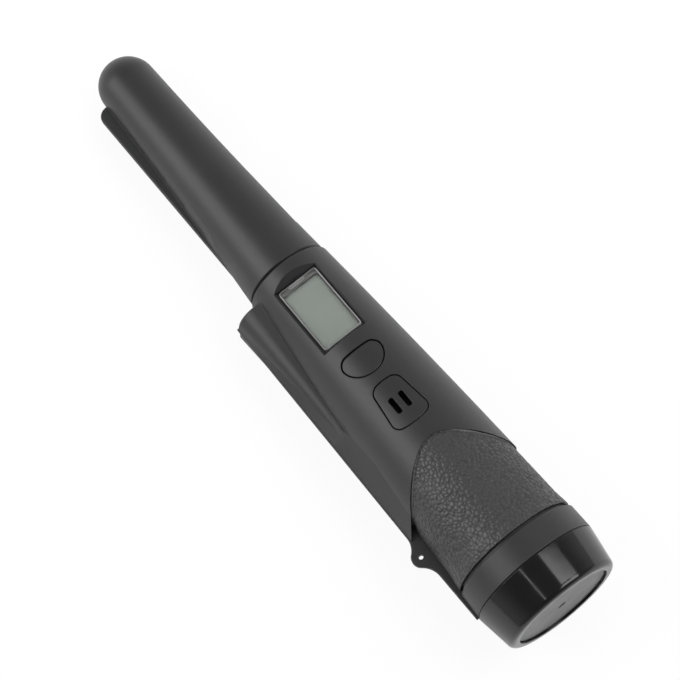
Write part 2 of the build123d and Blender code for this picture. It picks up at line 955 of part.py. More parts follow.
# Rear shell: back half with the keel, the lamp hull, the screw bosses and the motor's saddle
with BuildPart() as rear_shell:
    add(outside)
    add(keel.part)
    add(rest_ribs.part)
    add(hollow, mode=Mode.SUBTRACT)
    for screw_x, screw_y in screw_places:
        add(upright(screw_x, screw_y, rear_boss_r, -collar_r, parting_z) & mid_wall)
    add(saddle.part & mid_wall)
    add(half_space(parting_z, up=True), mode=Mode.SUBTRACT)
    add(rear_grip_skin(pocket_depth, -pocket_reach, 0.0), mode=Mode.SUBTRACT)
    add(lamp_ring(lens_rear_x - cut_margin, lamp_front_x, lens_r + slip), mode=Mode.SUBTRACT)
    for screw_x, screw_y in screw_places:
        add(
            upright(screw_x, screw_y, screw_shank_r + slip, screw_seat_z, parting_z),
            mode=Mode.SUBTRACT,
        )
        add(
            upright(screw_x, screw_y, screw_head_r + 2 * seat_gap, -2 * collar_r, screw_seat_z),
            mode=Mode.SUBTRACT,
        )
    with Locations((lug_x, lug_hole_y, parting_z)):
        Hole(lug_hole_r)
rear_shell.part.label = "rear_shell"

# Shell screws: driven from the back through the rear bosses into the front ones
with BuildPart() as shell_screws:
    for screw_x, screw_y in screw_places:
        add(upright(screw_x, screw_y, screw_shank_r, screw_seat_z, screw_seat_z + screw_length))
        add(upright(screw_x, screw_y, screw_head_r, screw_seat_z - screw_head, screw_seat_z))
        with BuildSketch(Plane.XY.offset(screw_seat_z - screw_head)):
            with Locations((screw_x, screw_y)):
                Rectangle(cross_length, cross_width)
                Rectangle(cross_width, cross_length)
        extrude(amount=screw_head / 2, mode=Mode.SUBTRACT)
shell_screws.part.label = "shell_screws"

# Grip pads: leather-grained skins in shallow pockets, one on each shell
with BuildPart() as grip_pad_front:
    add(grip_skin(pocket_depth - pad_bond, pad_sink, parting_z + pad_gap, True, pad_gap))
grip_pad_front.part.label = "grip_pad_front"

with BuildPart() as grip_pad_rear:
    add(rear_grip_skin(pocket_depth - pad_bond, pad_sink, pad_gap))
grip_pad_rear.part.label = "grip_pad_rear"

# Display window and the display module under it
with BuildPart() as display_window:
    add(window_prism(window_low_w, window_top_w, 0.0))
    fillet(display_window.edges().filter_by(Axis(deck.origin, deck.z_dir)), window_corner_r)
    chamfer(display_window.faces().sort_by(Axis.Z)[-1].edges(), window_bevel)
display_window.part.label = "display_window"

with BuildPart() as lcd_cell:
    cell_rear_u = window_mid_u - cell_length / 2
    add(deck_slab(cell_rear_u, cell_rear_u + cell_length, cell_width, cell_low_w, cell_top_w))
lcd_cell.part.label = "lcd_cell"

zebra_v = cell_width / 2 - zebra_inset - zebra_width / 2
with BuildPart() as zebra_strips:
    with BuildSketch(deck.offset(board_top_w)):
        with Locations((window_mid_u, zebra_v), (window_mid_u, -zebra_v)):
            Rectangle(cell_length - 2 * zebra_width, zebra_width)
    extrude(amount=cell_low_w - board_top_w)
zebra_strips.part.label = "zebra_strips"

with BuildPart() as lcd_frame:
    frame_rear_u = window_mid_u - frame_length / 2
    add(deck_slab(frame_rear_u, frame_rear_u + frame_length, frame_width, board_top_w, cell_top_w))
    pocket_rear_u = cell_rear_u - slip
    pocket_length = cell_length + 2 * slip
    add(
        deck_slab(
            pocket_rear_u, pocket_rear_u + pocket_length, cell_width + 2 * slip, cell_low_w, cell_top_w
        ),
        mode=Mode.SUBTRACT,
    )
    with BuildSketch(deck.offset(board_top_w)):
        with Locations((window_mid_u, zebra_v), (window_mid_u, -zebra_v)):
            Rectangle(cell_length - 2 * zebra_width + 2 * slip, zebra_width + 2 * slip)
    extrude(amount=cell_low_w - board_top_w, mode=Mode.SUBTRACT)
lcd_frame.part.label = "lcd_frame"

# Main board with its parts
with BuildPart() as main_board:
    add(deck_slab(board_rear_u, board_front_u, board_width, board_low_w, board_top_w))
    for post_u, post_side in post_places:
        add(
            deck_post(post_u, post_side, board_screw_r + 2 * slip, board_low_w, board_top_w),
            mode=Mode.SUBTRACT,
        )
main_board.part.label = "main_board"

with BuildPart() as board_chips:
    with BuildSketch(deck.offset(board_low_w)):
        with Locations((window_mid_u - chip_step, 0)):
            Rectangle(controller_size, controller_size)
        with Locations((button_centre_u, amplifier_v), (button_centre_u, -amplifier_v)):
            Rectangle(amplifier_length, amplifier_width)
        with Locations((buzzer_u, -amplifier_v)):
            Rectangle(amplifier_width, amplifier_width)
    extrude(amount=-chip_height)
board_chips.part.label = "board_chips"

with BuildPart() as board_capacitors:
    for capacitor_side in (capacitor_v, -capacitor_v):
        capacitor_u = grille_front_u - capacitor_r
        add(deck_post(capacitor_u, capacitor_side, capacitor_r, board_low_w - capacitor_height, board_low_w))
board_capacitors.part.label = "board_capacitors"

with BuildPart() as board_screws:
    for post_u, post_side in post_places:
        grip_w = board_top_w + board_screw_grip
        add(deck_post(post_u, post_side, board_screw_r, board_low_w, grip_w))
        add(deck_post(post_u, post_side, board_screw_head_r, board_low_w - board_screw_head, board_low_w))
board_screws.part.label = "board_screws"

# Power button with the switch that it presses
with BuildPart() as power_button:
    add(button_outline(-button_flange_drop, above_w, 0.0))
    add(body_core(collar_front_x, body_front_x, button_sink, body_lip), mode=Mode.INTERSECT)
    fillet(power_button.faces().sort_by(Axis.Z)[-1].edges(), button_edge)
    add(button_outline(button_low_w, -button_flange_drop, button_flange))
power_button.part.label = "power_button"

switch_u = (button_rear_u + button_front_u) / 2
dome_top_w = switch_bore_w + dome_height
with BuildPart() as switch_body:
    add(
        deck_slab(
            switch_u - switch_size / 2, switch_u + switch_size / 2, switch_size, board_top_w, switch_top_w
        )
    )
    add(deck_post(switch_u, 0, plunger_r + plunger_slip, switch_bore_w, switch_top_w), mode=Mode.SUBTRACT)
switch_body.part.label = "switch_body"

with BuildPart() as switch_plunger:
    add(deck_post(switch_u, 0, plunger_r, dome_top_w + dome_gap + button_travel, button_low_w))
switch_plunger.part.label = "switch_plunger"

with BuildPart() as switch_dome:
    with BuildSketch(Plane(origin=deck.origin, x_dir=deck.x_dir, z_dir=(0, -1, 0))):
        with BuildLine():
            crown = ThreePointArc(
                (switch_u - plunger_r, switch_bore_w),
                (switch_u, dome_top_w),
                (switch_u + plunger_r, switch_bore_w),
            )
            Line(crown @ 0, crown @ 1)
        make_face()
        with Locations((switch_u - plunger_r, switch_bore_w + dome_height / 2)):
            Rectangle(2 * plunger_r, 2 * dome_height, mode=Mode.SUBTRACT)
    revolve(axis=Axis(on_deck(switch_u, 0, 0), deck.z_dir))
switch_dome.part.label = "switch_dome"

# Sounder: slotted grille in the shell, gasket, and the buzzer on the board
with BuildPart() as speaker_grille:
    add(grille_outline(-grille_flange_drop, above_w, 0.0))
    add(body_core(collar_front_x, body_front_x, slip, body_lip), mode=Mode.INTERSECT)
    chamfer(speaker_grille.faces().sort_by(Axis.Z)[-1].edges(), grille_edge)
    add(grille_outline(grille_low_w, -grille_flange_drop, grille_flange))
    with BuildSketch(deck.offset(grille_low_w)):
        with Locations((buzzer_u, slot_spacing / 2), (buzzer_u, -slot_spacing / 2)):
            RectangleRounded(slot_length, slot_width, slot_corner_r)
    extrude(amount=above_w - grille_low_w, mode=Mode.SUBTRACT)
speaker_grille.part.label = "speaker_grille"

with BuildPart() as buzzer_gasket:
    add(deck_post(buzzer_u, 0, gasket_r, buzzer_top_w, grille_low_w))
    add(deck_post(buzzer_u, 0, gasket_bore_r, buzzer_top_w, grille_low_w), mode=Mode.SUBTRACT)
buzzer_gasket.part.label = "buzzer_gasket"

buzzer_floor_w = board_top_w + buzzer_wall
with BuildPart() as buzzer_can:
    add(deck_post(buzzer_u, 0, buzzer_r, board_top_w, buzzer_top_w))
    add(
        deck_post(buzzer_u, 0, buzzer_r - buzzer_wall, buzzer_floor_w, buzzer_top_w - buzzer_wall),
        mode=Mode.SUBTRACT,
    )
    add(deck_post(buzzer_u, 0, buzzer_hole_r, buzzer_floor_w, buzzer_top_w), mode=Mode.SUBTRACT)
buzzer_can.part.label = "buzzer_can"

with BuildPart() as piezo_disc:
    disc_r = buzzer_r - buzzer_wall - slip
    add(deck_post(buzzer_u, 0, disc_r, buzzer_floor_w, buzzer_floor_w + piezo_thickness))
piezo_disc.part.label = "piezo_disc"

# Lamp in the hull, looking along the probe
rim_rear_x = lens_rear_x - lens_rim_thickness
rim_r = lens_r + lens_rim
with BuildPart() as lamp_lens:
    add(lamp_ring(lens_rear_x, lamp_front_x - lens_recess, lens_r))
    add(lamp_ring(rim_rear_x, lens_rear_x, rim_r))
lamp_lens.part.label = "lamp_lens"

hull_run = lens_rear_x - lamp_edge - (lamp_front_x - pod_straight)
hull_slope = (hull_r - hull_tail_r) / hull_run
lamp_offset = hypot(lamp_y - hull_y, lamp_z - hull_z)
holder_front_r = hull_r - wall - lamp_offset - seat_gap - lamp_edge
holder_rear_r = hull_r - wall - lamp_offset - seat_gap - hull_slope * holder_length
holder_rear_x = lens_rear_x - holder_length
with BuildPart() as lamp_holder:
    add(
        turned(
            [
                (holder_rear_x, rim_r + slip),
                (lens_rear_x, rim_r + slip),
                (lens_rear_x, holder_front_r),
                (holder_rear_x, holder_rear_r),
            ]
        ).moved(lamp_place)
    )
lamp_holder.part.label = "lamp_holder"

reflector_rear_x = rim_rear_x - reflector_length
with BuildPart() as lamp_reflector:
    neck_r = led_r + slip
    add(
        turned(
            [
                (reflector_rear_x, neck_r),
                (rim_rear_x, rim_r - reflector_wall),
                (rim_rear_x, rim_r),
                (reflector_rear_x, neck_r + reflector_wall),
            ]
        ).moved(lamp_place)
    )
lamp_reflector.part.label = "lamp_reflector"

led_rear_x = reflector_rear_x - led_length / 2
with BuildPart() as lamp_led:
    with BuildSketch(Plane.XY):
        with BuildLine():
            led_base = Polyline(
                (led_rear_x + led_length, 0),
                (led_rear_x, 0),
                (led_rear_x, led_r + led_rim),
                (led_rear_x + led_rim_thickness, led_r + led_rim),
                (led_rear_x + led_rim_thickness, led_r),
                (led_rear_x + led_length - led_r, led_r),
            )
            TangentArc(led_base @ 1, led_base @ 0, tangent=(1, 0))
        make_face()
    revolve(axis=Axis.X)
lamp_led.part.locate(lamp_place)
lamp_led.part.label = "lamp_led"

lamp_board_rear_x = led_rear_x - lamp_board_thickness
with BuildPart() as lamp_board:
    add(lamp_ring(lamp_board_rear_x, led_rear_x, rim_r))
lamp_board.part.label = "lamp_board"


def motor_ring(rear_x, front_x, outer_r, inner_r=0.0):
    """Drum or ring on the vibration motor's axis."""
    return drum(rear_x, front_x, outer_r, inner_r).moved(Location((0, motor_y, motor_z)))


# Vibration motor in its rubber boot, with the off-centre weight on its shaft
motor_front_x = motor_x + motor_length
weight_rear_x = motor_front_x + motor_weight_gap
weight_front_x = weight_rear_x + motor_weight_length
with BuildPart() as motor_can:
    add(motor_ring(motor_x, motor_front_x, motor_r))
    bore_rear_x = motor_front_x - motor_shaft_depth
    add(
        motor_ring(bore_rear_x, motor_front_x, motor_shaft_r + motor_shaft_slip), mode=Mode.SUBTRACT
    )
motor_can.part.label = "motor_can"

with BuildPart() as motor_boot:
    add(motor_ring(motor_x + boot_inset, motor_front_x - boot_inset, motor_r + boot_wall, motor_r + slip / 2))
motor_boot.part.label = "motor_boot"

with BuildPart() as motor_shaft:
    add(motor_ring(bore_rear_x + slip, weight_front_x + slip, motor_shaft_r))
motor_shaft.part.label = "motor_shaft"

with BuildPart() as motor_weight:
    add(motor_ring(weight_rear_x, weight_front_x, motor_weight_r, motor_shaft_r + slip / 10))
    add(half_space(motor_z + 2 * motor_shaft_r, up=True), mode=Mode.SUBTRACT)
motor_weight.part.label = "motor_weight"

# Battery tube: a cup with the cap's neck at its open end
neck_rear_x = collar_rear_x - neck_length
flange_rear_x = collar_rear_x + end_wall + slip
flange_front_x = flange_rear_x + tube_flange_thickness
with BuildPart() as battery_tube:
    add(
        turned(
            [
                (neck_rear_x, tube_bore_r),
                (tube_bore_front_x, tube_bore_r),
                (tube_bore_front_x, tube_lead_hole_r),
                (tube_front_x, tube_lead_hole_r),
                (tube_front_x, tube_r),
                (flange_front_x, tube_r),
                (flange_front_x, tube_r + tube_flange),
                (flange_rear_x, tube_r + tube_flange),
                (flange_rear_x, tube_r),
                (neck_rear_x, tube_r),
            ]
        )
    )
    neck_thread_x = neck_rear_x + thread_start
    add(thread_rib(neck_thread_x, neck_thread_turns, tube_r, tube_r + thread_depth))
battery_tube.part.label = "battery_tube"

with BuildPart() as battery:
    with BuildSketch(Plane.YZ.offset(battery_rear_x)):
        RectangleRounded(battery_width, battery_height, battery_edge_r)
    extrude(amount=battery_length)
battery.part.label = "battery"

with BuildPart() as battery_studs:
    with BuildSketch(Plane.YZ.offset(battery_front_x)):
        with Locations((stud_spacing / 2, 0)):
            Circle(stud_r)
        with Locations((-stud_spacing / 2, 0)):
            RegularPolygon(stud_r, 6)
    extrude(amount=stud_height)
battery_studs.part.label = "battery_studs"

with BuildPart() as battery_snap:
    with BuildSketch(Plane.YZ.offset(snap_rear_x)):
        RectangleRounded(snap_length, snap_width, battery_edge_r)
    extrude(amount=snap_thickness)
    with BuildSketch(Plane.YZ.offset(snap_rear_x)):
        with Locations((stud_spacing / 2, 0), (-stud_spacing / 2, 0)):
            Circle(stud_r + 2 * slip)
    extrude(amount=stud_height + slip, mode=Mode.SUBTRACT)
battery_snap.part.label = "battery_snap"

# Battery cap with its end disc, face seal and battery cushion
seal_groove = cap_seal_wire_r + slip
end_disc_front_x = end_disc_sink + end_disc_thickness
with BuildPart() as battery_cap:
    with BuildSketch(Plane.XY):
        with BuildLine():
            recess_r = end_disc_r + end_disc_groove
            cap_side = Polyline(
                (cap_edge_r, cap_end_r),
                (cap_length - collar_edge / 2, cap_rim_r),
                (cap_length, cap_rim_r - collar_edge / 2),
                (cap_length, cap_seal_r + seal_groove),
                (cap_length - 2 * seal_groove, cap_seal_r + seal_groove),
                (cap_length - 2 * seal_groove, cap_seal_r - seal_groove),
                (cap_length, cap_seal_r - seal_groove),
                (cap_length, cap_bore_r),
                (cap_floor, cap_bore_r),
                (cap_floor, 0),
                (end_disc_front_x, 0),
                (end_disc_front_x, recess_r),
                (0, recess_r),
                (0, cap_end_r - cap_edge_r),
            )
            TangentArc(cap_side @ 1, cap_side @ 0, tangent=(0, 1))
        make_face()
    revolve(axis=Axis.X)
    cap_thread_x = neck_thread_x + thread_pitch / 2
    add(thread_rib(cap_thread_x, cap_thread_turns, cap_bore_r, cap_bore_r - thread_depth))
battery_cap.part.label = "battery_cap"

with BuildPart() as cap_end_disc:
    add(drum(end_disc_sink, end_disc_front_x, end_disc_r))
    dimple_end_x = end_disc_sink + dimple_depth
    add(
        turned(
            [
                (end_disc_sink, 0),
                (end_disc_sink, dimple_r),
                (dimple_end_x, dimple_floor_r),
                (dimple_end_x, 0),
            ]
        ),
        mode=Mode.SUBTRACT,
    )
cap_end_disc.part.label = "cap_end_disc"


def ring_seal(x, ring_r, wire_r):
    """Round seal ring about the long axis."""
    with BuildPart() as ring:
        with BuildSketch(Plane.XY):
            with Locations((x, ring_r)):
                Circle(wire_r)
        revolve(axis=Axis.X)
    return ring.part


with BuildPart() as cap_seal:
    add(ring_seal(cap_length - cap_seal_wire_r, cap_seal_r, cap_seal_wire_r))
cap_seal.part.label = "cap_seal"

with BuildPart() as battery_pad:
    add(drum(cap_floor, cap_floor + battery_pad_thickness, battery_pad_r))
battery_pad.part.label = "battery_pad"

# Probe: blind tube with a scraper blade, held in the nose by its spigot
groove_mid_x = (nose_rear_x + body_front_x) / 2
groove_half = seal_wire_r + seal_groove_margin
groove_floor_r = nose_bore_r - 2 * seal_wire_r - slip / 5
bore_tip_r = tip_r - tip_wall
bore_root_r = bore_tip_r + probe_bore_draft
tip_join_x = tip_centre_x + tip_r * sin(tip_join_angle)
tip_join_r = tip_r * cos(tip_join_angle)
flange_r = spigot_r + spigot_flange
away_from_blade = Plane(origin=(0, 0, 0), x_dir=(1, 0, 0), z_dir=(0, 0, -1))
with BuildPart() as probe_shell:
    with BuildSketch(away_from_blade):
        with BuildLine():
            spigot = Polyline(
                (spigot_flange_x, bore_root_r),
                (spigot_flange_x, flange_r),
                (spigot_rear_x, flange_r),
                (spigot_rear_x, spigot_r),
                (groove_mid_x - groove_half, spigot_r),
                (groove_mid_x - groove_half, groove_floor_r),
                (groove_mid_x + groove_half, groove_floor_r),
                (groove_mid_x + groove_half, spigot_r),
                (probe_rear_x, spigot_r),
                (probe_rear_x, probe_root_r - body_lip),
                (probe_rear_x + body_lip, probe_root_r),
            )
            probe_side = ThreePointArc(
                spigot @ 1, ((probe_rear_x + tip_join_x) / 2, probe_middle_r), (tip_join_x, tip_join_r)
            )
            nose_arc = ThreePointArc(
                probe_side @ 1,
                (tip_centre_x + tip_r * sin(radians(45)), tip_r * cos(radians(45))),
                (overall_length, 0),
            )
            bore_arc = ThreePointArc(
                (overall_length - tip_wall, 0),
                (tip_centre_x + bore_tip_r * sin(radians(45)), bore_tip_r * cos(radians(45))),
                (tip_centre_x, bore_tip_r),
            )
            Line(nose_arc @ 1, bore_arc @ 0)
            Line(bore_arc @ 1, spigot @ 0)
        make_face()
    revolve(axis=Axis.X)
    with BuildSketch(Plane.XY.offset(spigot_flat_z)):
        with Locations((spigot_rear_x - spigot_flange_thickness, 0)):
            Rectangle(2 * spigot_flange_thickness, 4 * flange_r)
    extrude(amount=2 * flange_r, mode=Mode.SUBTRACT)
    add(blade_plate())
probe_shell.part.label = "probe_shell"

with BuildPart() as probe_seal:
    add(ring_seal(groove_mid_x, groove_floor_r + seal_wire_r, seal_wire_r))
probe_seal.part.label = "probe_seal"

# Search coil: ferrite rod, bobbin and two windings in the probe
rod_front_x = tip_centre_x
rod_rear_x = rod_front_x - rod_length
bobbin_rear_x = rod_rear_x + bobbin_margin
bobbin_front_x = rod_front_x - bobbin_margin
bobbin_bore_r = rod_r + slip
barrel_r = bobbin_bore_r + bobbin_wall
bobbin_flange_r = bore_tip_r - seat_gap
middle_rear_x = (bobbin_rear_x + bobbin_front_x - bobbin_flange_thickness) / 2
flange_rears = [bobbin_rear_x, middle_rear_x, bobbin_front_x - bobbin_flange_thickness]


def winding(rear_flange_x, front_flange_x):
    """Drum of wire between two flanges of the bobbin."""
    rear_x = rear_flange_x + bobbin_flange_thickness + slip
    return drum(rear_x, front_flange_x - slip, winding_r, barrel_r + slip)


with BuildPart() as ferrite_rod:
    add(drum(rod_rear_x, rod_front_x, rod_r))
ferrite_rod.part.label = "ferrite_rod"

with BuildPart() as coil_bobbin:
    add(drum(bobbin_rear_x, bobbin_front_x, barrel_r, bobbin_bore_r))
    for flange_x in flange_rears:
        add(drum(flange_x, flange_x + bobbin_flange_thickness, bobbin_flange_r, bobbin_bore_r))
coil_bobbin.part.label = "coil_bobbin"

with BuildPart() as receive_coil:
    add(winding(flange_rears[0], flange_rears[1]))
receive_coil.part.label = "receive_coil"

with BuildPart() as transmit_coil:
    add(winding(flange_rears[1], flange_rears[2]))
transmit_coil.part.label = "transmit_coil"

with BuildPart() as tip_cushion:
    add(drum(rod_front_x, rod_front_x + cushion_length, cushion_r))
tip_cushion.part.label = "tip_cushion"

# Wires inside the body
battery_lead_u = rear_post_u + post_to_grille
with BuildPart() as battery_lead_red:
    add(battery_lead(lead_side))
battery_lead_red.part.label = "battery_lead_red"

with BuildPart() as battery_lead_black:
    add(battery_lead(-lead_side))
battery_lead_black.part.label = "battery_lead_black"

with BuildPart() as coil_leads:
    coil_end_u = board_front_u - coil_lead_inset
    coil_lead_z = -bobbin_flange_r + 2 * coil_lead_r
    add(
        lead(
            [
                (bobbin_rear_x, 0, coil_lead_z),
                (probe_rear_x + lead_run, 0, coil_lead_z),
                (spigot_flange_x, 0, -lead_run),
                on_deck(coil_end_u, 0, board_low_w - lead_run),
                on_deck(coil_end_u, 0, board_low_w),
            ],
            coil_lead_r,
        )
    )
coil_leads.part.label = "coil_leads"

with BuildPart() as lamp_leads:
    lamp_lead_y = lamp_y - 2 * lead_r
    lamp_lead_z = lamp_z + 2 * lead_r
    lamp_turn_x = holder_rear_x - 2 * lead_r
    add(
        lead(
            [
                (lamp_board_rear_x, lamp_lead_y, lamp_lead_z),
                (lamp_turn_x, lamp_lead_y, lamp_lead_z),
                on_deck(holder_rear_x, lamp_lead_v, board_low_w - lead_run),
                on_deck(holder_rear_x, lamp_lead_v, board_low_w),
            ],
            lead_r,
        )
    )
lamp_leads.part.label = "lamp_leads"

with BuildPart() as motor_leads:
    motor_end_u = motor_x - 1.5 * lead_run
    add(
        lead(
            [
                (motor_x, motor_y, motor_z),
                (motor_x - lead_run, motor_y, motor_z),
                on_deck(motor_end_u, motor_y, board_low_w - lead_run),
                on_deck(motor_end_u, motor_y, board_low_w),
            ],
            lead_r,
        )
    )
motor_leads.part.label = "motor_leads"

pieces = [
    front_shell,
    rear_shell,
    shell_screws,
    grip_pad_front,
    grip_pad_rear,
    display_window,
    lcd_cell,
    zebra_strips,
    lcd_frame,
    main_board,
    board_chips,
    board_capacitors,
    board_screws,
    power_button,
    switch_body,
    switch_plunger,
    switch_dome,
    speaker_grille,
    buzzer_gasket,
    buzzer_can,
    piezo_disc,
    lamp_lens,
    lamp_holder,
    lamp_reflector,
    lamp_led,
    lamp_board,
    motor_can,
    motor_boot,
    motor_shaft,
    motor_weight,
    battery_tube,
    battery,
    battery_studs,
    battery_snap,
    battery_cap,
    cap_end_disc,
    cap_seal,
    battery_pad,
    probe_shell,
    probe_seal,
    ferrite_rod,
    coil_bobbin,
    receive_coil,
    transmit_coil,
    tip_cushion,
    battery_lead_red,
    battery_lead_black,
    coil_leads,
    lamp_leads,
    motor_leads,
]
os.makedirs("parts", exist_ok=True)
for piece in pieces:
    export_step(piece.part, f"parts/{piece.part.label}.step")
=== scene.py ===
# %% [markdown]
# # A pinpointer on a white table
# A pinpointer is a hand-held probe for finding small metal things in soil: a round probe with a scraper
# blade, a tapered body with a small display, one button and a sounder grille, a leather-grained grip and a
# glossy screw cap. Its hard pieces come from the CAD model. This lesson gives them their finishes, makes the
# soft and the printed pieces, and sets up the table, the lamps and the camera.

# %% Load the pieces
from math import acos, atan, cos, degrees, pi, radians, sin, sqrt

import bmesh
import bpy
from mathutils import Matrix, Vector, noise


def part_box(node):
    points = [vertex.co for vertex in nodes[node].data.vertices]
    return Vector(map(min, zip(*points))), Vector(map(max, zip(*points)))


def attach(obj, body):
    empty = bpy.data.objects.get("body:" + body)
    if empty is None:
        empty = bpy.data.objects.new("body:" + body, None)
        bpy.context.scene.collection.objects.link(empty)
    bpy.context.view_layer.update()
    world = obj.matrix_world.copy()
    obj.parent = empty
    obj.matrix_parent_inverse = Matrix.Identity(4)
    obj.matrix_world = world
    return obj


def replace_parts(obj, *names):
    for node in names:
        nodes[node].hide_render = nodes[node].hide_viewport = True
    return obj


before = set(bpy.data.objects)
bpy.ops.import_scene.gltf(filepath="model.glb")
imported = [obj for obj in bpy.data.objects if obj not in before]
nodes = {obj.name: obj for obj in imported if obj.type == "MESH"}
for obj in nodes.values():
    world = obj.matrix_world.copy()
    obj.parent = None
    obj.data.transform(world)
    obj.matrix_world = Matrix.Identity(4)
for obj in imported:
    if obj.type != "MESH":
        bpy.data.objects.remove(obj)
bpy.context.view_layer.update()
scene = bpy.context.scene
mm = 0.001

# %% [markdown]
# ## Camera
# The photograph looks down on the tool from behind its grip with a long lens, so the tool shrinks only a
# little towards its tip. A camera can be aimed with a Track To constraint, but then its roll isn't free. Here
# its place and its axes were worked out from points that are easy to find in the picture, and go in as a
# matrix.

# %% Camera
eye = Vector((-113.09, 63.26, 628.44)) * mm
across = Vector((-0.60403, -0.78512, -0.13689)).normalized()
upward = Vector((0.72316, -0.61213, 0.31989))
upward = (upward - across * upward.dot(across)).normalized()
backward = across.cross(upward)
lens = bpy.data.cameras.new("long_lens")
lens.lens = 111.2
lens.sensor_width = 36.0
camera = bpy.data.objects.new("camera", lens)
camera.matrix_world = Matrix.Translation(eye) @ Matrix((across, upward, backward)).transposed().to_4x4()
scene.collection.objects.link(camera)
scene.camera = camera
print("camera", round(eye.length, 3), "m from the cap's end, looking along", [round(v, 3) for v in -backward])

# %% [markdown]
# ## Helpers
# Every finish is a tree of shader nodes and every new piece starts as a bmesh, and both need the same few
# lines again and again. They could be written out each time, but short functions keep the steps below about
# the tool itself.


# %% Helpers for shader nodes
def feed(tree, node, feeds):
    """Feeds a node's inputs with numbers or with other nodes' outputs."""
    for place, value in feeds.items():
        if isinstance(value, bpy.types.NodeSocket):
            tree.links.new(value, node.inputs[place])
        else:
            node.inputs[place].default_value = value


def put(tree, kind, feeds=None, **options):
    """Adds a shader node, sets its options and feeds its inputs."""
    node = tree.nodes.new("ShaderNode" + kind)
    for option, value in options.items():
        setattr(node, option, value)
    feed(tree, node, feeds or {})
    return node


def reckon(tree, operation, *values):
    """A Math node on numbers or sockets."""
    return put(tree, "Math", dict(enumerate(values)), operation=operation).outputs[0]


# %% Helpers for meshes
def inset_frame(bm, width):
    """Insets the one face of a flat drawing and returns the face inside the new frame, in a list."""
    rim = bmesh.ops.inset_region(bm, faces=bm.faces[:], thickness=width, use_boundary=True)["faces"]
    return [face for face in bm.faces if face not in rim]


def raise_faces(bm, rise):
    """Extrudes a flat drawing upwards into a closed body."""
    raised = bmesh.ops.extrude_face_region(bm, geom=bm.faces[:])["geom"]
    raised = [item for item in raised if isinstance(item, bmesh.types.BMVert)]
    bmesh.ops.translate(bm, verts=raised, vec=(0, 0, rise))


def make_piece(name, bm, finish, smooth=False):
    """Turns a bmesh into an object at the origin with one finish, and puts it in the scene."""
    for face in bm.faces:
        face.smooth = smooth
    mesh = bpy.data.meshes.new(name)
    bm.to_mesh(mesh)
    bm.free()
    mesh.materials.append(finish)
    piece = bpy.data.objects.new(name, mesh)
    scene.collection.objects.link(piece)
    return piece


# %% [markdown]
# ## Table
# The tool lies on the ribs under its collar, on its tip and on the lamp hull, so its axis rises a little
# towards the grip. The table is level with those three places, not with the tool's own axis. One big square
# is enough. The picture's background is plain white: most of the table's white comes from a glow that only
# camera rays see, and the rest is ordinary light, which keeps the tool's shadow. Reflections see the table in
# ordinary light alone, because a glossy cap shows how dark the table is close under it.

# %% White board
glow_share = 0.92
white_board = bpy.data.materials.new("white_board")
white_board.use_nodes = True
tree = white_board.node_tree
paint = tree.nodes["Principled BSDF"]
feed(tree, paint, {"Base Color": (0.93, 0.93, 0.93, 1), "Roughness": 0.9, "Specular IOR Level": 0.1})
seen = put(tree, "LightPath").outputs["Is Camera Ray"]
share = reckon(tree, "MULTIPLY", seen, glow_share)
glow = put(tree, "Emission", {"Color": (1, 1, 1, 1), "Strength": 1.0}).outputs[0]
both = put(tree, "MixShader", {0: share, 1: paint.outputs[0], 2: glow}).outputs[0]
feed(tree, tree.nodes["Material Output"], {"Surface": both})
print("white board:", glow_share, "of what the camera sees is glow")

# %% Table
rest_low = Vector((13.5, 0.0, -22.05)) * mm
rest_slope = 0.05452
table_half = 4.0
bm = bmesh.new()
bmesh.ops.create_grid(bm, x_segments=1, y_segments=1, size=table_half)
bmesh.ops.rotate(bm, verts=bm.verts, cent=(0, 0, 0), matrix=Matrix.Rotation(-atan(rest_slope), 3, "Y"))
bmesh.ops.translate(bm, verts=bm.verts, vec=rest_low)
table = make_piece("table", bm, white_board)
print("table passes", round(rest_low.z / mm, 2), "mm under the axis at the collar")

# %% [markdown]
# ## Light
# A white tent lights the tool from all round. It is dimmer overhead, where the camera is, and behind the
# grip, so that black plastic keeps its dark side. The camera itself sees it as plain white, like the table.
# Three soft boxes give the tool its shape: a top box whose reflection shows as a block on the glossy cap, a
# side box that draws the long soft streaks on the probe and the hood, and a thin strip. A fourth and larger
# box fills in from the other side and shows in no reflection. Point lamps would be simpler, but they leave
# hard sparks on gloss. Each box lies along the tool, so that its reflection does too.

# %% Tent
overhead = {"From Min": 0.0, "From Max": 0.7, "To Min": 0.75, "To Max": 0.25}
lengthwise = {"From Min": -0.3, "From Max": 0.45, "To Min": 0.5, "To Max": 1.45}
tent = bpy.data.worlds.new("tent")
scene.world = tent
tent.use_nodes = True
tree = tent.node_tree
aim = put(tree, "SeparateXYZ", {0: put(tree, "TexCoord").outputs["Generated"]}).outputs
dims = []
for axis, ramp in (("Z", overhead), ("X", lengthwise)):
    feeds = {"Value": aim[axis], **ramp}
    dims.append(put(tree, "MapRange", feeds, interpolation_type="SMOOTHSTEP").outputs[0])
dim = reckon(tree, "MULTIPLY", *dims)
seen = put(tree, "LightPath").outputs["Is Camera Ray"]
strength = put(tree, "Mix", {0: seen, 2: dim, 3: 1.0}, data_type="FLOAT").outputs[0]
feed(tree, tree.nodes["Background"], {"Color": (1.0, 1.0, 1.0, 1), "Strength": strength})
print("tent falls from", overhead["To Min"], "at the horizon to", overhead["To Max"], "overhead")

# %% Soft boxes
middle = Vector((0.1, 0.0, 0.0))
box_distance = 1.0


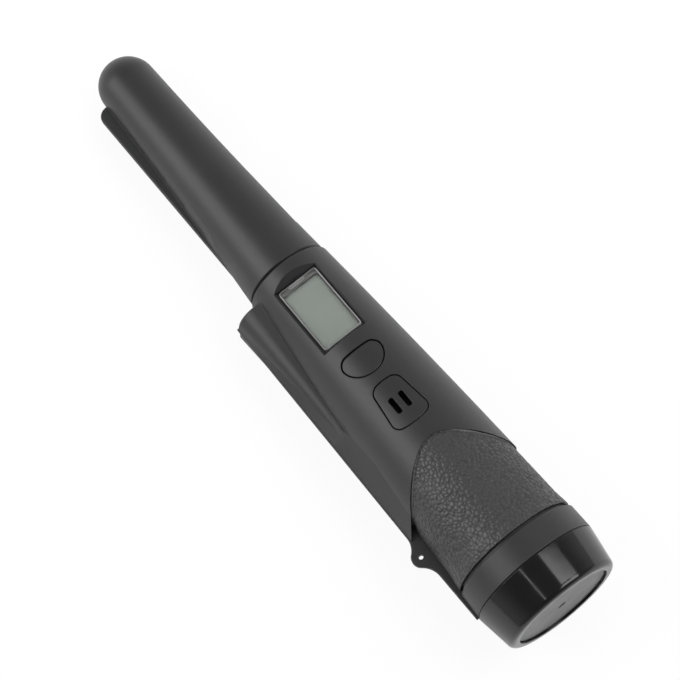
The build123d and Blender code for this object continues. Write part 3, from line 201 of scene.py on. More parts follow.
def soft_box(name, towards, length, width, radiance, mirrored=True):
    """A rectangular lamp that faces the tool's middle, with its length along the tool."""
    lamp = bpy.data.lights.new(name, "AREA")
    lamp.shape = "RECTANGLE"
    lamp.size = length
    lamp.size_y = width
    lamp.energy = radiance * pi * length * width
    box = bpy.data.objects.new(name, lamp)
    back = Vector(towards).normalized()
    along = (Vector((1, 0, 0)) - back * back.x).normalized()
    turn = Matrix((along, back.cross(along), back)).transposed()
    box.matrix_world = Matrix.Translation(middle + back * box_distance) @ turn.to_4x4()
    box.visible_glossy = mirrored
    scene.collection.objects.link(box)
    print(name, round(lamp.energy, 2), "W")


soft_box("top_box", (-0.472, -0.54, 0.83), length=0.56, width=0.6, radiance=4.0)
soft_box("side_box", (0.42, 0.6, 0.68), length=0.7, width=0.64, radiance=3.7)
soft_box("strip_box", (-0.15, 0.343, 0.927), length=0.3, width=0.03, radiance=4.0)
soft_box("fill_box", (0.25, -0.7, 0.75), length=1.2, width=1.2, radiance=1.6, mirrored=False)
scene.view_settings.view_transform = "Standard"

# %% [markdown]
# ## Moulded plastic
# Nearly everything outside is black plastic from a spark-eroded mould. Up close it has a fine matte grain,
# and its edges are rubbed a little lighter and smoother. One flat colour would look like clay, so three
# things vary: a slow cloud shifts the colour, a fine noise gives the grain as roughness and bump, and a Bevel
# node finds the edges by comparing the rounded normal with the true one. The same recipe makes every moulded
# piece with other numbers.

# %% Helpers for finishes
bevel_samples = 6


def new_finish(name):
    """A fresh node material with its shader and the object's own coordinates."""
    finish = bpy.data.materials.new(name)
    finish.use_nodes = True
    tree = finish.node_tree
    shader = tree.nodes["Principled BSDF"]
    place = put(tree, "TexCoord").outputs["Object"]
    return finish, tree, shader, place


def grey(level):
    """A neutral colour."""
    return (level, level, level)


def blend_colours(tree, share, first, second):
    """Mixes two colours or colour sockets, which are inputs 6 and 7 of the node, by a share from 0 to 1."""
    feeds = {0: share}
    for index, colour in ((6, first), (7, second)):
        linked = isinstance(colour, bpy.types.NodeSocket)
        feeds[index] = colour if linked else (*colour, 1)
    return put(tree, "Mix", feeds, data_type="RGBA").outputs[2]


def spread(tree, value, low, high, from_low=0.3, from_high=0.7):
    """Maps a value to a range. The bounds it comes from are those of a noise, unless others are given."""
    feeds = {"Value": value, "From Min": from_low, "From Max": from_high, "To Min": low, "To Max": high}
    return put(tree, "MapRange", feeds).outputs[0]


def noise_over(tree, place, scale, detail=2.0, **more):
    """A noise over the piece with about so many lumps a metre."""
    return put(tree, "TexNoise", {"Vector": place, "Scale": scale, "Detail": detail, **more}).outputs[0]


def bump(tree, height, distance, strength=1.0, **more):
    """Turns a height from 0 to 1 into a normal, for a relief of so many metres."""
    feeds = {"Strength": strength, "Distance": distance, "Height": height, **more}
    return put(tree, "Bump", feeds).outputs[0]


def rounded_normal(tree, radius):
    """The normal as it would be if every edge had this radius."""
    return put(tree, "Bevel", {"Radius": radius}, samples=bevel_samples).outputs[0]


# %% Moulded plastic
uneven = 0.07
flat_cosine = 0.985
sharp_cosine = 0.8
most_worn = 0.6
worn_polish = 0.2


def moulded(name, dark, light, rough, grain, relief=8e-6, worn=None, edge=0.3 * mm):
    """Moulded plastic or rubber: dark and light bound its colour, grain is its texture's size in metres."""
    finish, tree, shader, place = new_finish(name)
    cloud = noise_over(tree, place, scale=45.0, detail=3.0)
    pits = noise_over(tree, place, scale=1 / grain)
    colour = blend_colours(tree, cloud, dark, light)
    matte = spread(tree, pits, rough - uneven, rough + uneven)
    round_edge = rounded_normal(tree, edge)
    if worn:
        true = put(tree, "NewGeometry").outputs["Normal"]
        turn = put(tree, "VectorMath", {0: round_edge, 1: true}, operation="DOT_PRODUCT").outputs["Value"]
        rub = spread(tree, turn, 0.0, most_worn, flat_cosine, sharp_cosine)
        patchy = reckon(tree, "MULTIPLY", rub, cloud)
        colour = blend_colours(tree, patchy, colour, worn)
        smooth = reckon(tree, "MULTIPLY", patchy, worn_polish)
        matte = reckon(tree, "SUBTRACT", matte, smooth)
    normal = bump(tree, pits, distance=relief, Normal=round_edge)
    feed(tree, shader, {"Base Color": colour, "Roughness": matte, "Normal": normal})
    return finish


shell_plastic = moulded("shell_plastic", grey(0.014), (0.02, 0.02, 0.021), 0.44, 0.25 * mm, worn=grey(0.05))
key_plastic = moulded("key_plastic", grey(0.012), (0.018, 0.018, 0.019), 0.44, 0.3 * mm, worn=grey(0.05))
inner_plastic = moulded("inner_plastic", grey(0.03), grey(0.042), 0.55, 0.4 * mm)
white_plastic = moulded("white_plastic", (0.68, 0.68, 0.66), (0.76, 0.76, 0.74), 0.45, 0.4 * mm)
black_rubber = moulded("black_rubber", grey(0.016), grey(0.026), 0.72, 0.2 * mm, relief=12e-6)
chip_black = moulded("chip_black", (0.02, 0.02, 0.022), (0.032, 0.032, 0.036), 0.6, 0.12 * mm, relief=10e-6)
print("plastics:", shell_plastic.name, key_plastic.name, inner_plastic.name, white_plastic.name)

# %% [markdown]
# ## Polished cap and its end disc
# The battery cap is the one glossy piece: the same black, polished, with faint turning scratches round its
# axis. Scratches could be a picture, but here a noise stretched into hoops does it: squeezed along the axis,
# drawn out round it. The disc in its end is a separate satin insert with fine rings from the lathe, so its
# bump is a wave over the distance from the axis. The dimple in its middle, where the lathe's centre sat, is
# painted dark: painted shade that stands in for the shade of a deeper hole.

# %% Cap and disc
# Radii of the painted shade in the centre dimple.
dimple_shade_inner = 1.2 * mm
dimple_shade_outer = 1.5 * mm


def polished_cap():
    """Polished black plastic with hoops of fine scratches round the axis."""
    finish, tree, shader, place = new_finish("cap_plastic")
    axes = put(tree, "SeparateXYZ", {0: place}).outputs
    across_axis = put(tree, "CombineXYZ", {"Y": axes["Y"], "Z": axes["Z"]}).outputs[0]
    out = put(tree, "VectorMath", {0: across_axis}, operation="LENGTH").outputs["Value"]
    hoop_place = put(tree, "CombineXYZ", {"X": axes["X"], "Y": out}).outputs[0]
    hoops = noise_over(tree, hoop_place, scale=5200.0)
    smears = noise_over(tree, place, scale=160.0, detail=4.0)
    colour = blend_colours(tree, smears, grey(0.004), grey(0.008))
    gloss = spread(tree, smears, 0.09, 0.14)
    round_edge = rounded_normal(tree, 0.25 * mm)
    normal = bump(tree, hoops, distance=1.5e-6, strength=0.5, Normal=round_edge)
    feed(tree, shader, {"Base Color": colour, "Roughness": gloss, "Normal": normal})
    return finish


def turned_disc():
    """Satin plastic with the rings of a lathe and painted shade in its centre hollow."""
    finish, tree, shader, place = new_finish("disc_plastic")
    axes = put(tree, "SeparateXYZ", {0: place}).outputs
    face = put(tree, "CombineXYZ", {"X": axes["Y"], "Y": axes["Z"]}).outputs[0]
    wave = {"Vector": face, "Scale": 700.0, "Distortion": 0.4}
    rings = put(tree, "TexWave", wave, wave_type="RINGS", rings_direction="Z").outputs["Fac"]
    cloud = noise_over(tree, place, scale=220.0, detail=3.0)
    out = put(tree, "VectorMath", {0: face}, operation="LENGTH").outputs["Value"]
    # Painted shade: a dark spot in the dimple stands in for the shade of a deeper hole.
    dimple_shade = spread(tree, out, 1.0, 0.0, dimple_shade_inner, dimple_shade_outer)
    colour = blend_colours(tree, cloud, grey(0.12), grey(0.17))
    colour = blend_colours(tree, dimple_shade, colour, grey(0.02))
    satin = spread(tree, cloud, 0.38, 0.5)
    normal = bump(tree, rings, distance=3e-6, strength=0.6)
    feed(tree, shader, {"Base Color": colour, "Roughness": satin, "Normal": normal})
    return finish


cap_plastic = polished_cap()
disc_plastic = turned_disc()
print("cap and disc:", cap_plastic.name, disc_plastic.name)

# %% [markdown]
# ## Display
# The pane is clear acrylic let into the shell, and its sawn edges are frosted. The frost needs no mask:
# wherever the surface doesn't face straight out of the deck it is an edge. Under the pane a plain reflective
# display glass shows a calm grey green, greyer along its sides, and a painted shadow of the frame darkens it
# towards the tip end. The glass lies along the sloping deck, so a Mapping node turns the object's coordinates
# into the deck's own length and width first.

# %% Body and deck
collar_front = 22.1
nose = 138.8
collar_radius = 21.6
nose_radius = 15.15
deck_slope = atan((collar_radius - nose_radius) / (nose - collar_front))
deck_crest = 22.8215
deck_shift = deck_crest * sin(deck_slope)
pane_middle = 119.15
print("deck slopes", round(degrees(deck_slope), 2), "degrees")

# %% Pane and display
clean_tint = (0.97, 0.98, 0.97)
wipe_rough = 0.06
edge_cosine = 0.9
face_cosine = 0.99
frost_rough = 0.4
frost_clear = 0.25
side_fade = (6.0 * mm, 7.0 * mm)
# Where the painted shadow of the frame begins and ends along the glass.
frame_shadow_fade = (9.3 * mm, 12.0 * mm)


def clear(name, tint, rough=0.03):
    """Clear moulded plastic with faint wipe marks."""
    finish, tree, shader, place = new_finish(name)
    wipes = noise_over(tree, place, scale=260.0, detail=4.0, Distortion=0.6)
    colour = blend_colours(tree, wipes, tint, clean_tint)
    feed(tree, shader, {"Base Color": colour, "Roughness": spread(tree, wipes, rough, rough + wipe_rough)})
    feed(tree, shader, {"Transmission Weight": 1.0, "IOR": 1.49})
    return finish


def frosted_pane(name, tint, frost):
    """The clear plastic of the pane, whose bevels and sides are frosted."""
    finish = clear(name, tint)
    tree = finish.node_tree
    shader = tree.nodes["Principled BSDF"]
    facing = put(tree, "NewGeometry").outputs["Normal"]
    out = (sin(deck_slope), 0.0, cos(deck_slope))
    level = put(tree, "VectorMath", {0: facing, 1: out}, operation="DOT_PRODUCT").outputs["Value"]
    edge = spread(tree, reckon(tree, "ABSOLUTE", level), 1.0, 0.0, edge_cosine, face_cosine)
    plain = {place: shader.inputs[place].links[0].from_socket for place in ("Base Color", "Roughness")}
    colour = blend_colours(tree, edge, plain["Base Color"], frost)
    rough = reckon(tree, "MULTIPLY_ADD", edge, frost_rough, plain["Roughness"])
    through = spread(tree, edge, 1.0, frost_clear, 0.0, 1.0)
    feed(tree, shader, {"Base Color": colour, "Roughness": rough, "Transmission Weight": through})
    return finish


def display_glass():
    """Reflective display glass, greyer along its sides, with a painted shadow of the frame at its tip end."""
    finish, tree, shader, place = new_finish("lcd_glass")
    shift = (-(pane_middle - deck_shift) * mm, 0, 0)
    on_deck = put(tree, "Mapping", {0: place, "Location": shift, "Rotation": (0, -deck_slope, 0)})
    axes = put(tree, "SeparateXYZ", {0: on_deck.outputs[0]}).outputs
    area = spread(tree, reckon(tree, "ABSOLUTE", axes["Y"]), 1.0, 0.0, *side_fade)
    # Painted shadow of the frame: the glass darkens towards its tip end.
    out_of_frame_shadow = spread(tree, axes["X"], 1.0, 0.0, *frame_shadow_fade)
    cells = noise_over(tree, place, scale=6000.0, detail=1.0)
    cloud = noise_over(tree, place, scale=70.0)
    colour = blend_colours(tree, cloud, (0.36, 0.391, 0.357), (0.391, 0.42, 0.388))
    colour = blend_colours(tree, area, (0.345, 0.34, 0.33), colour)
    colour = blend_colours(tree, out_of_frame_shadow, (0.21, 0.21, 0.205), colour)
    satin = spread(tree, cells, 0.3, 0.42)
    normal = bump(tree, cells, distance=2e-6, strength=0.4)
    feed(tree, shader, {"Base Color": colour, "Roughness": satin, "Normal": normal})
    return finish


window_glass = frosted_pane("window_glass", (0.9, 0.93, 0.91), grey(0.35))
clear_plastic = clear("clear_plastic", (0.93, 0.94, 0.94))
lcd_glass = display_glass()
print("display:", window_glass.name, clear_plastic.name, lcd_glass.name)

# %% [markdown]
# ## Metals
# Inside are plated screws, a drawn steel motor can, a brass sounder disc and enamelled copper windings. They
# could share one plain metal, but drawn and turned metal has streaks along one direction, so its noise is
# stretched along the axis. The windings are a fine wave along the bobbin, one band a turn of wire.

# %% Metals
streak_scale = (40, 1500, 1500)


def wave_scale(pitch):
    """The scale at which a band of the wave texture is as wide as the pitch."""
    return pi / (10 * pitch)


def drawn_metal(name, dark, light, rough):
    """Drawn or plated metal with streaks along the tool."""
    finish, tree, shader, place = new_finish(name)
    streak_place = put(tree, "Mapping", {0: place, "Scale": streak_scale}).outputs[0]
    streaks = noise_over(tree, streak_place, scale=1.0, detail=4.0)
    stain = noise_over(tree, place, scale=300.0, detail=3.0)
    colour = blend_colours(tree, stain, dark, light)
    matte = spread(tree, streaks, rough - 0.08, rough + 0.1)
    normal = bump(tree, streaks, distance=2e-6, strength=0.4)
    feed(tree, shader, {"Base Color": colour, "Roughness": matte, "Normal": normal})
    feed(tree, shader, {"Metallic": 1.0})
    return finish


def winding(name, dark, light, wire):
    """Enamelled wire wound round the tool's axis, turn by turn."""
    finish, tree, shader, place = new_finish(name)
    wave = {"Vector": place, "Scale": wave_scale(wire)}
    turns = put(tree, "TexWave", wave, bands_direction="X").outputs["Fac"]
    tint = noise_over(tree, place, scale=400.0)
    colour = blend_colours(tree, tint, dark, light)
    gloss = spread(tree, tint, 0.25, 0.4)
    normal = bump(tree, turns, distance=wire / 4, strength=0.8)
    feed(tree, shader, {"Base Color": colour, "Roughness": gloss, "Normal": normal})
    feed(tree, shader, {"Metallic": 1.0})
    return finish


steel = drawn_metal("steel", (0.5, 0.5, 0.51), grey(0.62), 0.32)
tin = drawn_metal("tin", (0.68, 0.68, 0.69), grey(0.78), 0.28)
brass = drawn_metal("brass", (0.66, 0.48, 0.2), (0.78, 0.6, 0.28), 0.3)
mirror_coat = drawn_metal("mirror_coat", (0.82, 0.82, 0.83), grey(0.9), 0.12)
copper = winding("copper", (0.5, 0.2, 0.08), (0.68, 0.32, 0.14), 0.3 * mm)
print("metals:", steel.name, tin.name, brass.name, mirror_coat.name, copper.name)

# %% [markdown]
# ## Board, battery, ferrite, foam and wire
# Each inner piece keeps to what it is made of. The circuit board is glossy green with paler tracks, which
# could be drawn one by one, but a cell noise whose corners are square is enough inside a closed shell. The
# battery's foil jacket is dark with a paler band at the stud end. Foam has open cells, ferrite is a dull
# ground ceramic, the contact strips are striped, and wire is smooth soft insulation.

# %% Board and battery
band_start = 40.0 * mm
band_blur = 0.1 * mm


def circuit_board():
    """Green solder mask over a net of tracks."""
    finish, tree, shader, place = new_finish("board")
    net = {"Vector": place, "Scale": 420.0, "Randomness": 0.85}
    cells = put(tree, "TexVoronoi", net, distance="MANHATTAN").outputs["Distance"]
    tracks = spread(tree, cells, 0.0, 1.0, 0.48, 0.52)
    colour = blend_colours(tree, tracks, (0.012, 0.1, 0.035), (0.03, 0.19, 0.07))
    gloss = spread(tree, noise_over(tree, place, scale=1800.0), 0.18, 0.32)
    normal = bump(tree, tracks, distance=2e-5, strength=0.5)
    feed(tree, shader, {"Base Color": colour, "Roughness": gloss, "Normal": normal})
    return finish


def foil_jacket():
    """Creased dark foil with a copper-coloured band at the stud end."""
    finish, tree, shader, place = new_finish("battery_jacket")
    along = put(tree, "SeparateXYZ", {0: place}).outputs["X"]
    band = spread(tree, along, 0.0, 1.0, band_start, band_start + band_blur)
    creases = noise_over(tree, place, scale=500.0, detail=5.0)
    colour = blend_colours(tree, band, (0.05, 0.05, 0.055), (0.42, 0.26, 0.12))
    gloss = spread(tree, creases, 0.25, 0.42)
    normal = bump(tree, creases, distance=1.5e-5, strength=0.5)
    feed(tree, shader, {"Base Color": colour, "Roughness": gloss, "Normal": normal})
    feed(tree, shader, {"Metallic": 0.7})
    return finish


board = circuit_board()
battery_jacket = foil_jacket()
print("board and battery:", board.name, battery_jacket.name)

# %% Ferrite, foam, contact strips and wire
strip_pitch = 0.3 * mm


def open_foam():
    """Dark foam with open cells."""
    finish, tree, shader, place = new_finish("foam")
    cells = put(tree, "TexVoronoi", {"Vector": place, "Scale": 2600.0}).outputs["Distance"]
    colour = blend_colours(tree, cells, grey(0.012), grey(0.05))
    matte = spread(tree, cells, 0.8, 0.95, 0.0, 0.6)
    normal = bump(tree, cells, distance=1e-4)
    feed(tree, shader, {"Base Color": colour, "Roughness": matte, "Normal": normal})
    return finish


def contact_strip():
    """Rubber with stripes of conducting and plain layers across the tool."""
    finish, tree, shader, place = new_finish("contact_strip")
    turned = put(tree, "Mapping", {0: place, "Rotation": (0, -deck_slope, 0)}).outputs[0]
    wave = {"Vector": turned, "Scale": wave_scale(strip_pitch)}
    stripes = put(tree, "TexWave", wave, bands_direction="Y").outputs["Fac"]
    colour = blend_colours(tree, stripes, (0.5, 0.3, 0.28), grey(0.03))
    matte = spread(tree, noise_over(tree, place, scale=900.0), 0.5, 0.7)
    feed(tree, shader, {"Base Color": colour, "Roughness": matte})
    return finish


def wire_cover(name, dark, light):
    """Soft smooth insulation."""
    return moulded(name, dark, light, 0.4, 0.8 * mm, relief=4e-6, edge=0.05 * mm)


foam = open_foam()
strip = contact_strip()
ferrite = moulded("ferrite", (0.04, 0.04, 0.043), (0.075, 0.075, 0.08), 0.6, 0.1 * mm, relief=15e-6)
red_wire = wire_cover("red_wire", (0.36, 0.012, 0.012), (0.46, 0.02, 0.018))
black_wire = wire_cover("black_wire", grey(0.012), grey(0.02))
yellow_wire = wire_cover("yellow_wire", (0.6, 0.38, 0.03), (0.7, 0.47, 0.05))
print("inner finishes:", foam.name, strip.name, ferrite.name, red_wire.name, black_wire.name)

# %% [markdown]
# ## Every piece gets its finish
# On the real tool a material is chosen piece by piece, and many pieces share one. Setting it piece by piece
# here would be easy to get wrong, so one table says which pieces share a finish. The loop puts it in the
# first slot of each piece and empties the others, and stops if a piece was forgotten.

# %% Give out the finishes
finishes = {
    shell_plastic: ["front_shell", "rear_shell", "probe_shell"],
    key_plastic: ["power_button", "speaker_grille"],
    inner_plastic: ["battery_tube", "battery_snap", "buzzer_can", "switch_plunger"],
    white_plastic: ["lcd_frame", "lamp_holder", "coil_bobbin"],
    black_rubber: ["cap_seal", "probe_seal", "motor_boot", "grip_pad_front", "grip_pad_rear"],
    chip_black: ["board_chips", "switch_body"],
    cap_plastic: ["battery_cap"],
    disc_plastic: ["cap_end_disc"],
    window_glass: ["display_window"],
    clear_plastic: ["lamp_lens", "lamp_led"],
    lcd_glass: ["lcd_cell"],
    steel: ["shell_screws", "board_screws", "switch_dome", "motor_can", "motor_shaft", "motor_weight"],
    tin: ["battery_studs", "board_capacitors"],
    brass: ["piezo_disc"],
    mirror_coat: ["lamp_reflector"],
    copper: ["receive_coil", "transmit_coil"],
    board: ["main_board", "lamp_board"],
    battery_jacket: ["battery"],
    foam: ["battery_pad", "buzzer_gasket", "tip_cushion"],
    strip: ["zebra_strips"],
    ferrite: ["ferrite_rod"],
    red_wire: ["battery_lead_red", "lamp_leads"],
    black_wire: ["battery_lead_black", "motor_leads"],
    yellow_wire: ["coil_leads"],
}
finished = set()
for finish, names in finishes.items():
    for name in names:
        slots = nodes[name].data.materials
        slots.clear()
        slots.append(finish)
        finished.add(name)
missing = sorted(set(nodes) - finished)
assert not missing, missing
print(len(finished), "pieces finished with", len(finishes), "materials")

# %% [markdown]
# ## Leather grip pads
# The grip is two skins of pebbled leather glued into shallow pockets of the shells, with a high arch towards
# the display. A bump map alone would leave the outline and the highlights too smooth, so the pebbles are real
# relief. A flat grid is wrapped onto the body: its columns go round the grip and its rows run from the collar
# to the arch. The sheet is first made as the glued back, then extruded, and the new top gets the thickness,
# rolled edges, pebbles and a low bead along the arch. A cell noise gives the pebbles: its second distance
# less its first is zero in the creases, which the finish darkens with dirt and painted shade. A paler colour
# along the arch is a painted highlight, so the mesh also carries how near each point is to that edge. A thin
# curved shell can come out of the normals operator inside out, and a negative volume shows it.


# %% Leather finish
def pebbled_leather():
    """Black leather, duller in the creases and darker there with dirt and painted shade, with a painted
    highlight along the arch edge.
    """
    finish, tree, shader, place = new_finish("grip_leather")
    height = put(tree, "Attribute", attribute_name="pebble").outputs["Fac"]
    rim_glint = put(tree, "Attribute", attribute_name="painted_rim_highlight").outputs["Fac"]
    pores = noise_over(tree, place, scale=4200.0, detail=3.0)
    cloud = noise_over(tree, place, scale=90.0, detail=3.0)
    colour = blend_colours(tree, cloud, grey(0.032), grey(0.04))
    # Painted shade, with some dirt: the creases are darker.
    colour = blend_colours(tree, height, grey(0.022), colour)
    # Painted highlight: a paler colour along the arch edge stands in for light catching it.
    colour = blend_colours(tree, rim_glint, colour, grey(0.14))
    gloss = spread(tree, height, 0.6, 0.38, 0.0, 1.0)
    matte = reckon(tree, "ADD", gloss, spread(tree, pores, -0.06, 0.06))
    normal = bump(tree, pores, distance=2e-5, strength=0.7)
    feed(tree, shader, {"Base Color": colour, "Roughness": matte, "Normal": normal})
    return finish


grip_leather = pebbled_leather()
print("leather:", grip_leather.name)

# %% Where the pad lies on the body
bulge = 0.46
arch_apex = 62.2
arch_square = 0.04952
arch_fourth = 4.98e-5
arch_sixth = 3.3e-8
pad_edge = 0.12
pad_half_turn = radians(86.4)
grip_radius = 20.6
taper_lean = 0.055
slope_step = 0.1


def body_side(x):
    """Radius of the body's side at x: a straight taper with a shallow bulge."""
    middle_x = (collar_front + nose) / 2
    half = (nose - collar_front) / 2
    taper = collar_radius + (nose_radius - collar_radius) * (x - collar_front) / (2 * half)
    return taper + bulge * (1 - ((x - middle_x) / half) ** 2)


def arch(y):
    """How far the pad reaches along the body at y across it."""
    return arch_apex - (arch_square * y**2 - arch_fourth * y**4 + arch_sixth * y**6)


def wrap(u, v, side, ends):
    """Point on the axis, outward direction, radius and distances to the nearest edge and to the arch."""
    turn = (2 * u - 1) * pad_half_turn
    reach = arch(grip_radius * sin(turn)) - collar_front - pad_edge
    x = collar_front + pad_edge + v * reach
    radius = body_side(x)
    low = -acos(ends[0] / radius)
    high = acos(ends[1] / radius)
    turn = low + u * (high - low)
    outward = Vector((taper_lean, sin(turn), side * cos(turn))).normalized()
    aside = grip_radius * sin(turn)
    slope = abs(arch(aside) - arch(aside + slope_step)) / slope_step
    to_side = radius * min(turn - low, high - turn)
    to_front = (1 - v) * reach / sqrt(1 + slope**2)
    return Vector((x, 0, 0)), outward, radius, min(to_side, to_front), to_front


print("pad runs from", collar_front, "to", arch_apex, "mm, drawn in to", round(arch(21.0), 1), "at its sides")

# %% Relief of the leather
pad_top = 0.65
pad_back = 1.23
roll = 0.4
pebble = 1.42
pebble_height = 0.36
pebble_mean = 0.75
pebble_fade = (0.1, 0.9)
crease = 0.2
crease_floor = -0.1
swell_size = 9.0
swell_mean = 0.8
swell_share = 0.4
collar_rise = 0.4
rise_run = 6.0
bead_height = 0.26
bead_start = (0.1, 0.4)
bead_end = (0.5, 1.1)
rim_glint_fade = (0.4, 0.9)


def smooth_step(value, low, high):
    """Goes softly from 0 at the low value to 1 at the high one."""
    share = min(max((value - low) / (high - low), 0.0), 1.0)
    return share * share * (3 - 2 * share)


def leather_relief(point, edge, to_front):
    """How far the leather stands out at a point of the body, and its share of the way out of a crease."""
    near, far = noise.voronoi(point / pebble)[0][:2]
    crest = sqrt(max(1 - near**2, 0.0)) * smooth_step(far - near, crease_floor, crease)
    swell = swell_mean + swell_share * noise.noise(point / swell_size)
    dip = roll - sqrt(max(roll**2 - max(roll - edge, 0.0) ** 2, 0.0))
    lift = (crest - pebble_mean) * pebble_height * swell * smooth_step(edge, *pebble_fade)
    lift += bead_height * smooth_step(to_front, *bead_start) * (1 - smooth_step(to_front, *bead_end))
    return lift - dip, smooth_step(far - near, 0.0, crease)


print("pebbles", pebble, "mm wide and", pebble_height, "mm high")

# %% One pad
columns = 300
rows = 164


def leather_pad(name, side, ends):
    """A pad on the display side (side 1) or the back (side -1) that ends so far from the axis' plane."""
    bm = bmesh.new()
    height = bm.verts.layers.float.new("pebble")
    rim_glint = bm.verts.layers.float.new("painted_rim_highlight")
    bmesh.ops.create_grid(bm, x_segments=columns, y_segments=rows, size=0.5)
    back = bm.verts[:]
    top = bmesh.ops.extrude_face_region(bm, geom=bm.faces[:], use_keep_orig=True)["geom"]
    top = [item for item in top if isinstance(item, bmesh.types.BMVert)]
    for vert in back:
        centre, outward, radius = wrap(vert.co.x + 0.5, vert.co.y + 0.5, side, ends)[:3]
        vert.co = (centre + outward * (radius - pad_back)) * mm
    for vert in top:
        centre, outward, radius, edge, to_front = wrap(vert.co.x + 0.5, vert.co.y + 0.5, side, ends)
        lift, vert[height] = leather_relief(centre + outward * radius, edge, to_front)
        lift += collar_rise * (1 - smooth_step(centre.x, collar_front, collar_front + rise_run))
        # How strong the painted highlight is, highest at the arch edge.
        vert[rim_glint] = 1 - smooth_step(to_front, *rim_glint_fade)
        vert.co = (centre + outward * (radius - pad_top + lift)) * mm
    bmesh.ops.recalc_face_normals(bm, faces=bm.faces)
    if bm.calc_volume(signed=True) < 0:
        bmesh.ops.reverse_faces(bm, faces=bm.faces)
    print(name, len(bm.faces), "faces")
    pad = make_piece(name, bm, grip_leather, smooth=True)
    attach(pad, "body")
    return pad


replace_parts(leather_pad("leather_pad_front", 1, (1.25, 1.25)), "grip_pad_front")
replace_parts(leather_pad("leather_pad_rear", -1, (-0.75, 1.25)), "grip_pad_rear")

# %% [markdown]
# ## Foam cushions inside
# Three pieces inside are foam: the pad that pushes the battery onto its contacts, the cushion at the probe's
# tip and the gasket round the sounder. The CAD model has them as plain drums and a ring. Cut foam has soft
# corners and faces that swell a little, so each is drawn again in its own place: a circle is extruded, its
# faces are inset and raised, and the sharp rims are bevelled. A cloth simulation could swell them too, but
# they are small and firm.

# %% Foam cushions
face_swell = 0.15 * mm
soft_corner = 0.6 * mm
sharp_angle = radians(60)
level_cosine = 0.9
gasket_bore = 4.4 * mm


def foam_cushion(name, node, body, turn, along, bore=0.0):
    """A firm foam drum or ring in the box of a CAD piece, with its axis turned from Z about Y."""
    low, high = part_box(node)
    radius = (high.y - low.y) / 2
    lean = sin(turn) if along == 2 else cos(turn)
    length = (high - low)[along] - 2 * radius * lean
    bm = bmesh.new()
    bmesh.ops.create_circle(bm, cap_ends=True, segments=64, radius=radius)
    if bore:
        bmesh.ops.delete(bm, geom=inset_frame(bm, radius - bore), context="FACES")
    raise_faces(bm, length - 2 * face_swell)
    bmesh.ops.translate(bm, verts=bm.verts, vec=(0, 0, face_swell - length / 2))
    bmesh.ops.recalc_face_normals(bm, faces=bm.faces)
    caps = [face for face in bm.faces if abs(face.normal.z) > level_cosine]
    bmesh.ops.inset_region(bm, faces=caps, thickness=(radius - bore) / 3, depth=face_swell, use_boundary=True)
    bm.normal_update()
    rims = [edge for edge in bm.edges if edge.calc_face_angle(0.0) > sharp_angle]
    rounding = {"affect": "EDGES", "segments": 4, "profile": 0.5, "material": -1}
    bmesh.ops.bevel(bm, geom=rims, offset=min(soft_corner, length / 4), offset_type="OFFSET", **rounding)
    bmesh.ops.rotate(bm, verts=bm.verts, cent=(0, 0, 0), matrix=Matrix.Rotation(turn, 3, "Y"))
    bmesh.ops.translate(bm, verts=bm.verts, vec=(low + high) / 2)
    print(name, len(bm.faces), "faces,", round(length / mm, 2), "mm thick")
    cushion = make_piece(name, bm, foam, smooth=True)
    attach(cushion, body)
    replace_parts(cushion, node)


foam_cushion("battery_cushion", "battery_pad", "cap", pi / 2, 0)
foam_cushion("probe_cushion", "tip_cushion", "body", pi / 2, 0)
foam_cushion("sounder_gasket", "buzzer_gasket", "body", deck_slope, 2, bore=gasket_bore)

# %% [markdown]
# ## Printed border under the pane
# A grey border is printed on the underside of the pane, so that the shell's ledge and the glue don't show. It
# could be drawn in the pane's material, but then it would float on the top face. As a film of its own it lies
# where it really is: one square face is stretched to the pane's size, its corners are rounded like the
# pane's, and it is inset to a frame and given a few hundredths of a millimetre. The frame is wider at the tip
# end, where the display's contacts are, and on the side away from the keel.


# %% Place on the deck
def lay_on_deck(name, bm, place, finish):
    """Moves a flat drawing in millimetres to its place on the sloping deck, and makes a piece of it."""
    bmesh.ops.recalc_face_normals(bm, faces=bm.faces)
    bmesh.ops.translate(bm, verts=bm.verts, vec=place)
    bmesh.ops.rotate(bm, verts=bm.verts, cent=(0, 0, 0), matrix=Matrix.Rotation(deck_slope, 3, "Y"))
    bmesh.ops.translate(bm, verts=bm.verts, vec=(0, 0, deck_crest))
    bmesh.ops.scale(bm, verts=bm.verts, vec=(mm, mm, mm))
    piece = make_piece(name, bm, finish)
    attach(piece, "body")
    corner = [round(v / mm, 2) for v in piece.data.vertices[0].co]
    print(name, len(piece.data.polygons), "faces at", corner)


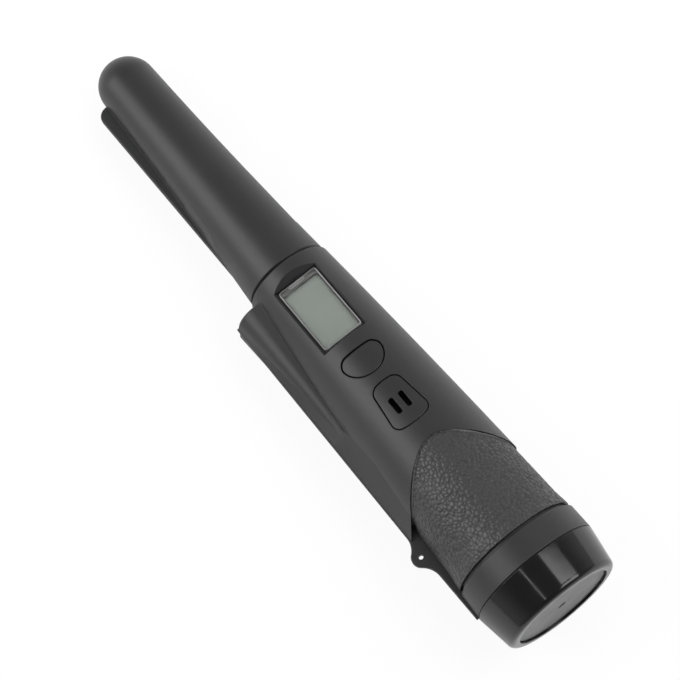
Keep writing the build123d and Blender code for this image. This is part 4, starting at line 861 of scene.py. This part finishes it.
# %% Printed border
pane_length = 25.26
pane_width = 14.52
pane_low = -3.47
pane_corner = 1.0
border = 0.4
side_border = 0.6
tip_border = 1.75
film = 0.03
grey_print = moulded("grey_print", (0.2, 0.2, 0.195), (0.25, 0.25, 0.245), 0.5, 0.3 * mm, relief=2e-6)
bm = bmesh.new()
bmesh.ops.create_grid(bm, x_segments=1, y_segments=1, size=0.5)
bmesh.ops.scale(bm, verts=bm.verts, vec=(pane_length, pane_width, 1))
rounding = {"affect": "VERTICES", "segments": 5, "profile": 0.5, "material": -1}
bmesh.ops.bevel(bm, geom=bm.verts[:], offset=pane_corner, offset_type="OFFSET", **rounding)
inner = inset_frame(bm, border)
tip_side = [vert for face in inner for vert in face.verts if vert.co.x > 0]
far_side = [vert for face in inner for vert in face.verts if vert.co.y < 0]
bmesh.ops.translate(bm, verts=tip_side, vec=(border - tip_border, 0, 0))
bmesh.ops.translate(bm, verts=far_side, vec=(0, side_border - border, 0))
bmesh.ops.delete(bm, geom=inner, context="FACES_ONLY")
raise_faces(bm, film)
lay_on_deck("pane_border", bm, (pane_middle, 0.0, pane_low), grey_print)

# %% [markdown]
# ## Gate mark on the pane
# At the tip end of the pane there is a small long mark with round ends, where the plastic flowed into the
# mould. It is only a thin raised outline, so a ring of eight-sided section would be more than it needs: a
# circle is pulled into a slot shape, given a flat width by an inset ring, and raised by a few hundredths of a
# millimetre.

# %% Gate mark
mark_length = 6.0
mark_width = 0.85
mark_line = 0.2
mark_rise = 0.05
pane_top = -1.9
mark_place = (130.85, 0.45, pane_top)
mark_plastic = moulded("mark_plastic", grey(0.42), (0.5, 0.5, 0.49), 0.35, 0.3 * mm, relief=2e-6)
bm = bmesh.new()
bmesh.ops.create_circle(bm, cap_ends=True, segments=32, radius=mark_width / 2)
far_end = [vert for vert in bm.verts if vert.co.y > 0]
bmesh.ops.translate(bm, verts=bm.verts, vec=(0, -(mark_length - mark_width) / 2, 0))
bmesh.ops.translate(bm, verts=far_end, vec=(0, mark_length - mark_width, 0))
bmesh.ops.delete(bm, geom=inset_frame(bm, mark_line), context="FACES")
raise_faces(bm, mark_rise)
lay_on_deck("pane_mark", bm, mark_place, mark_plastic)
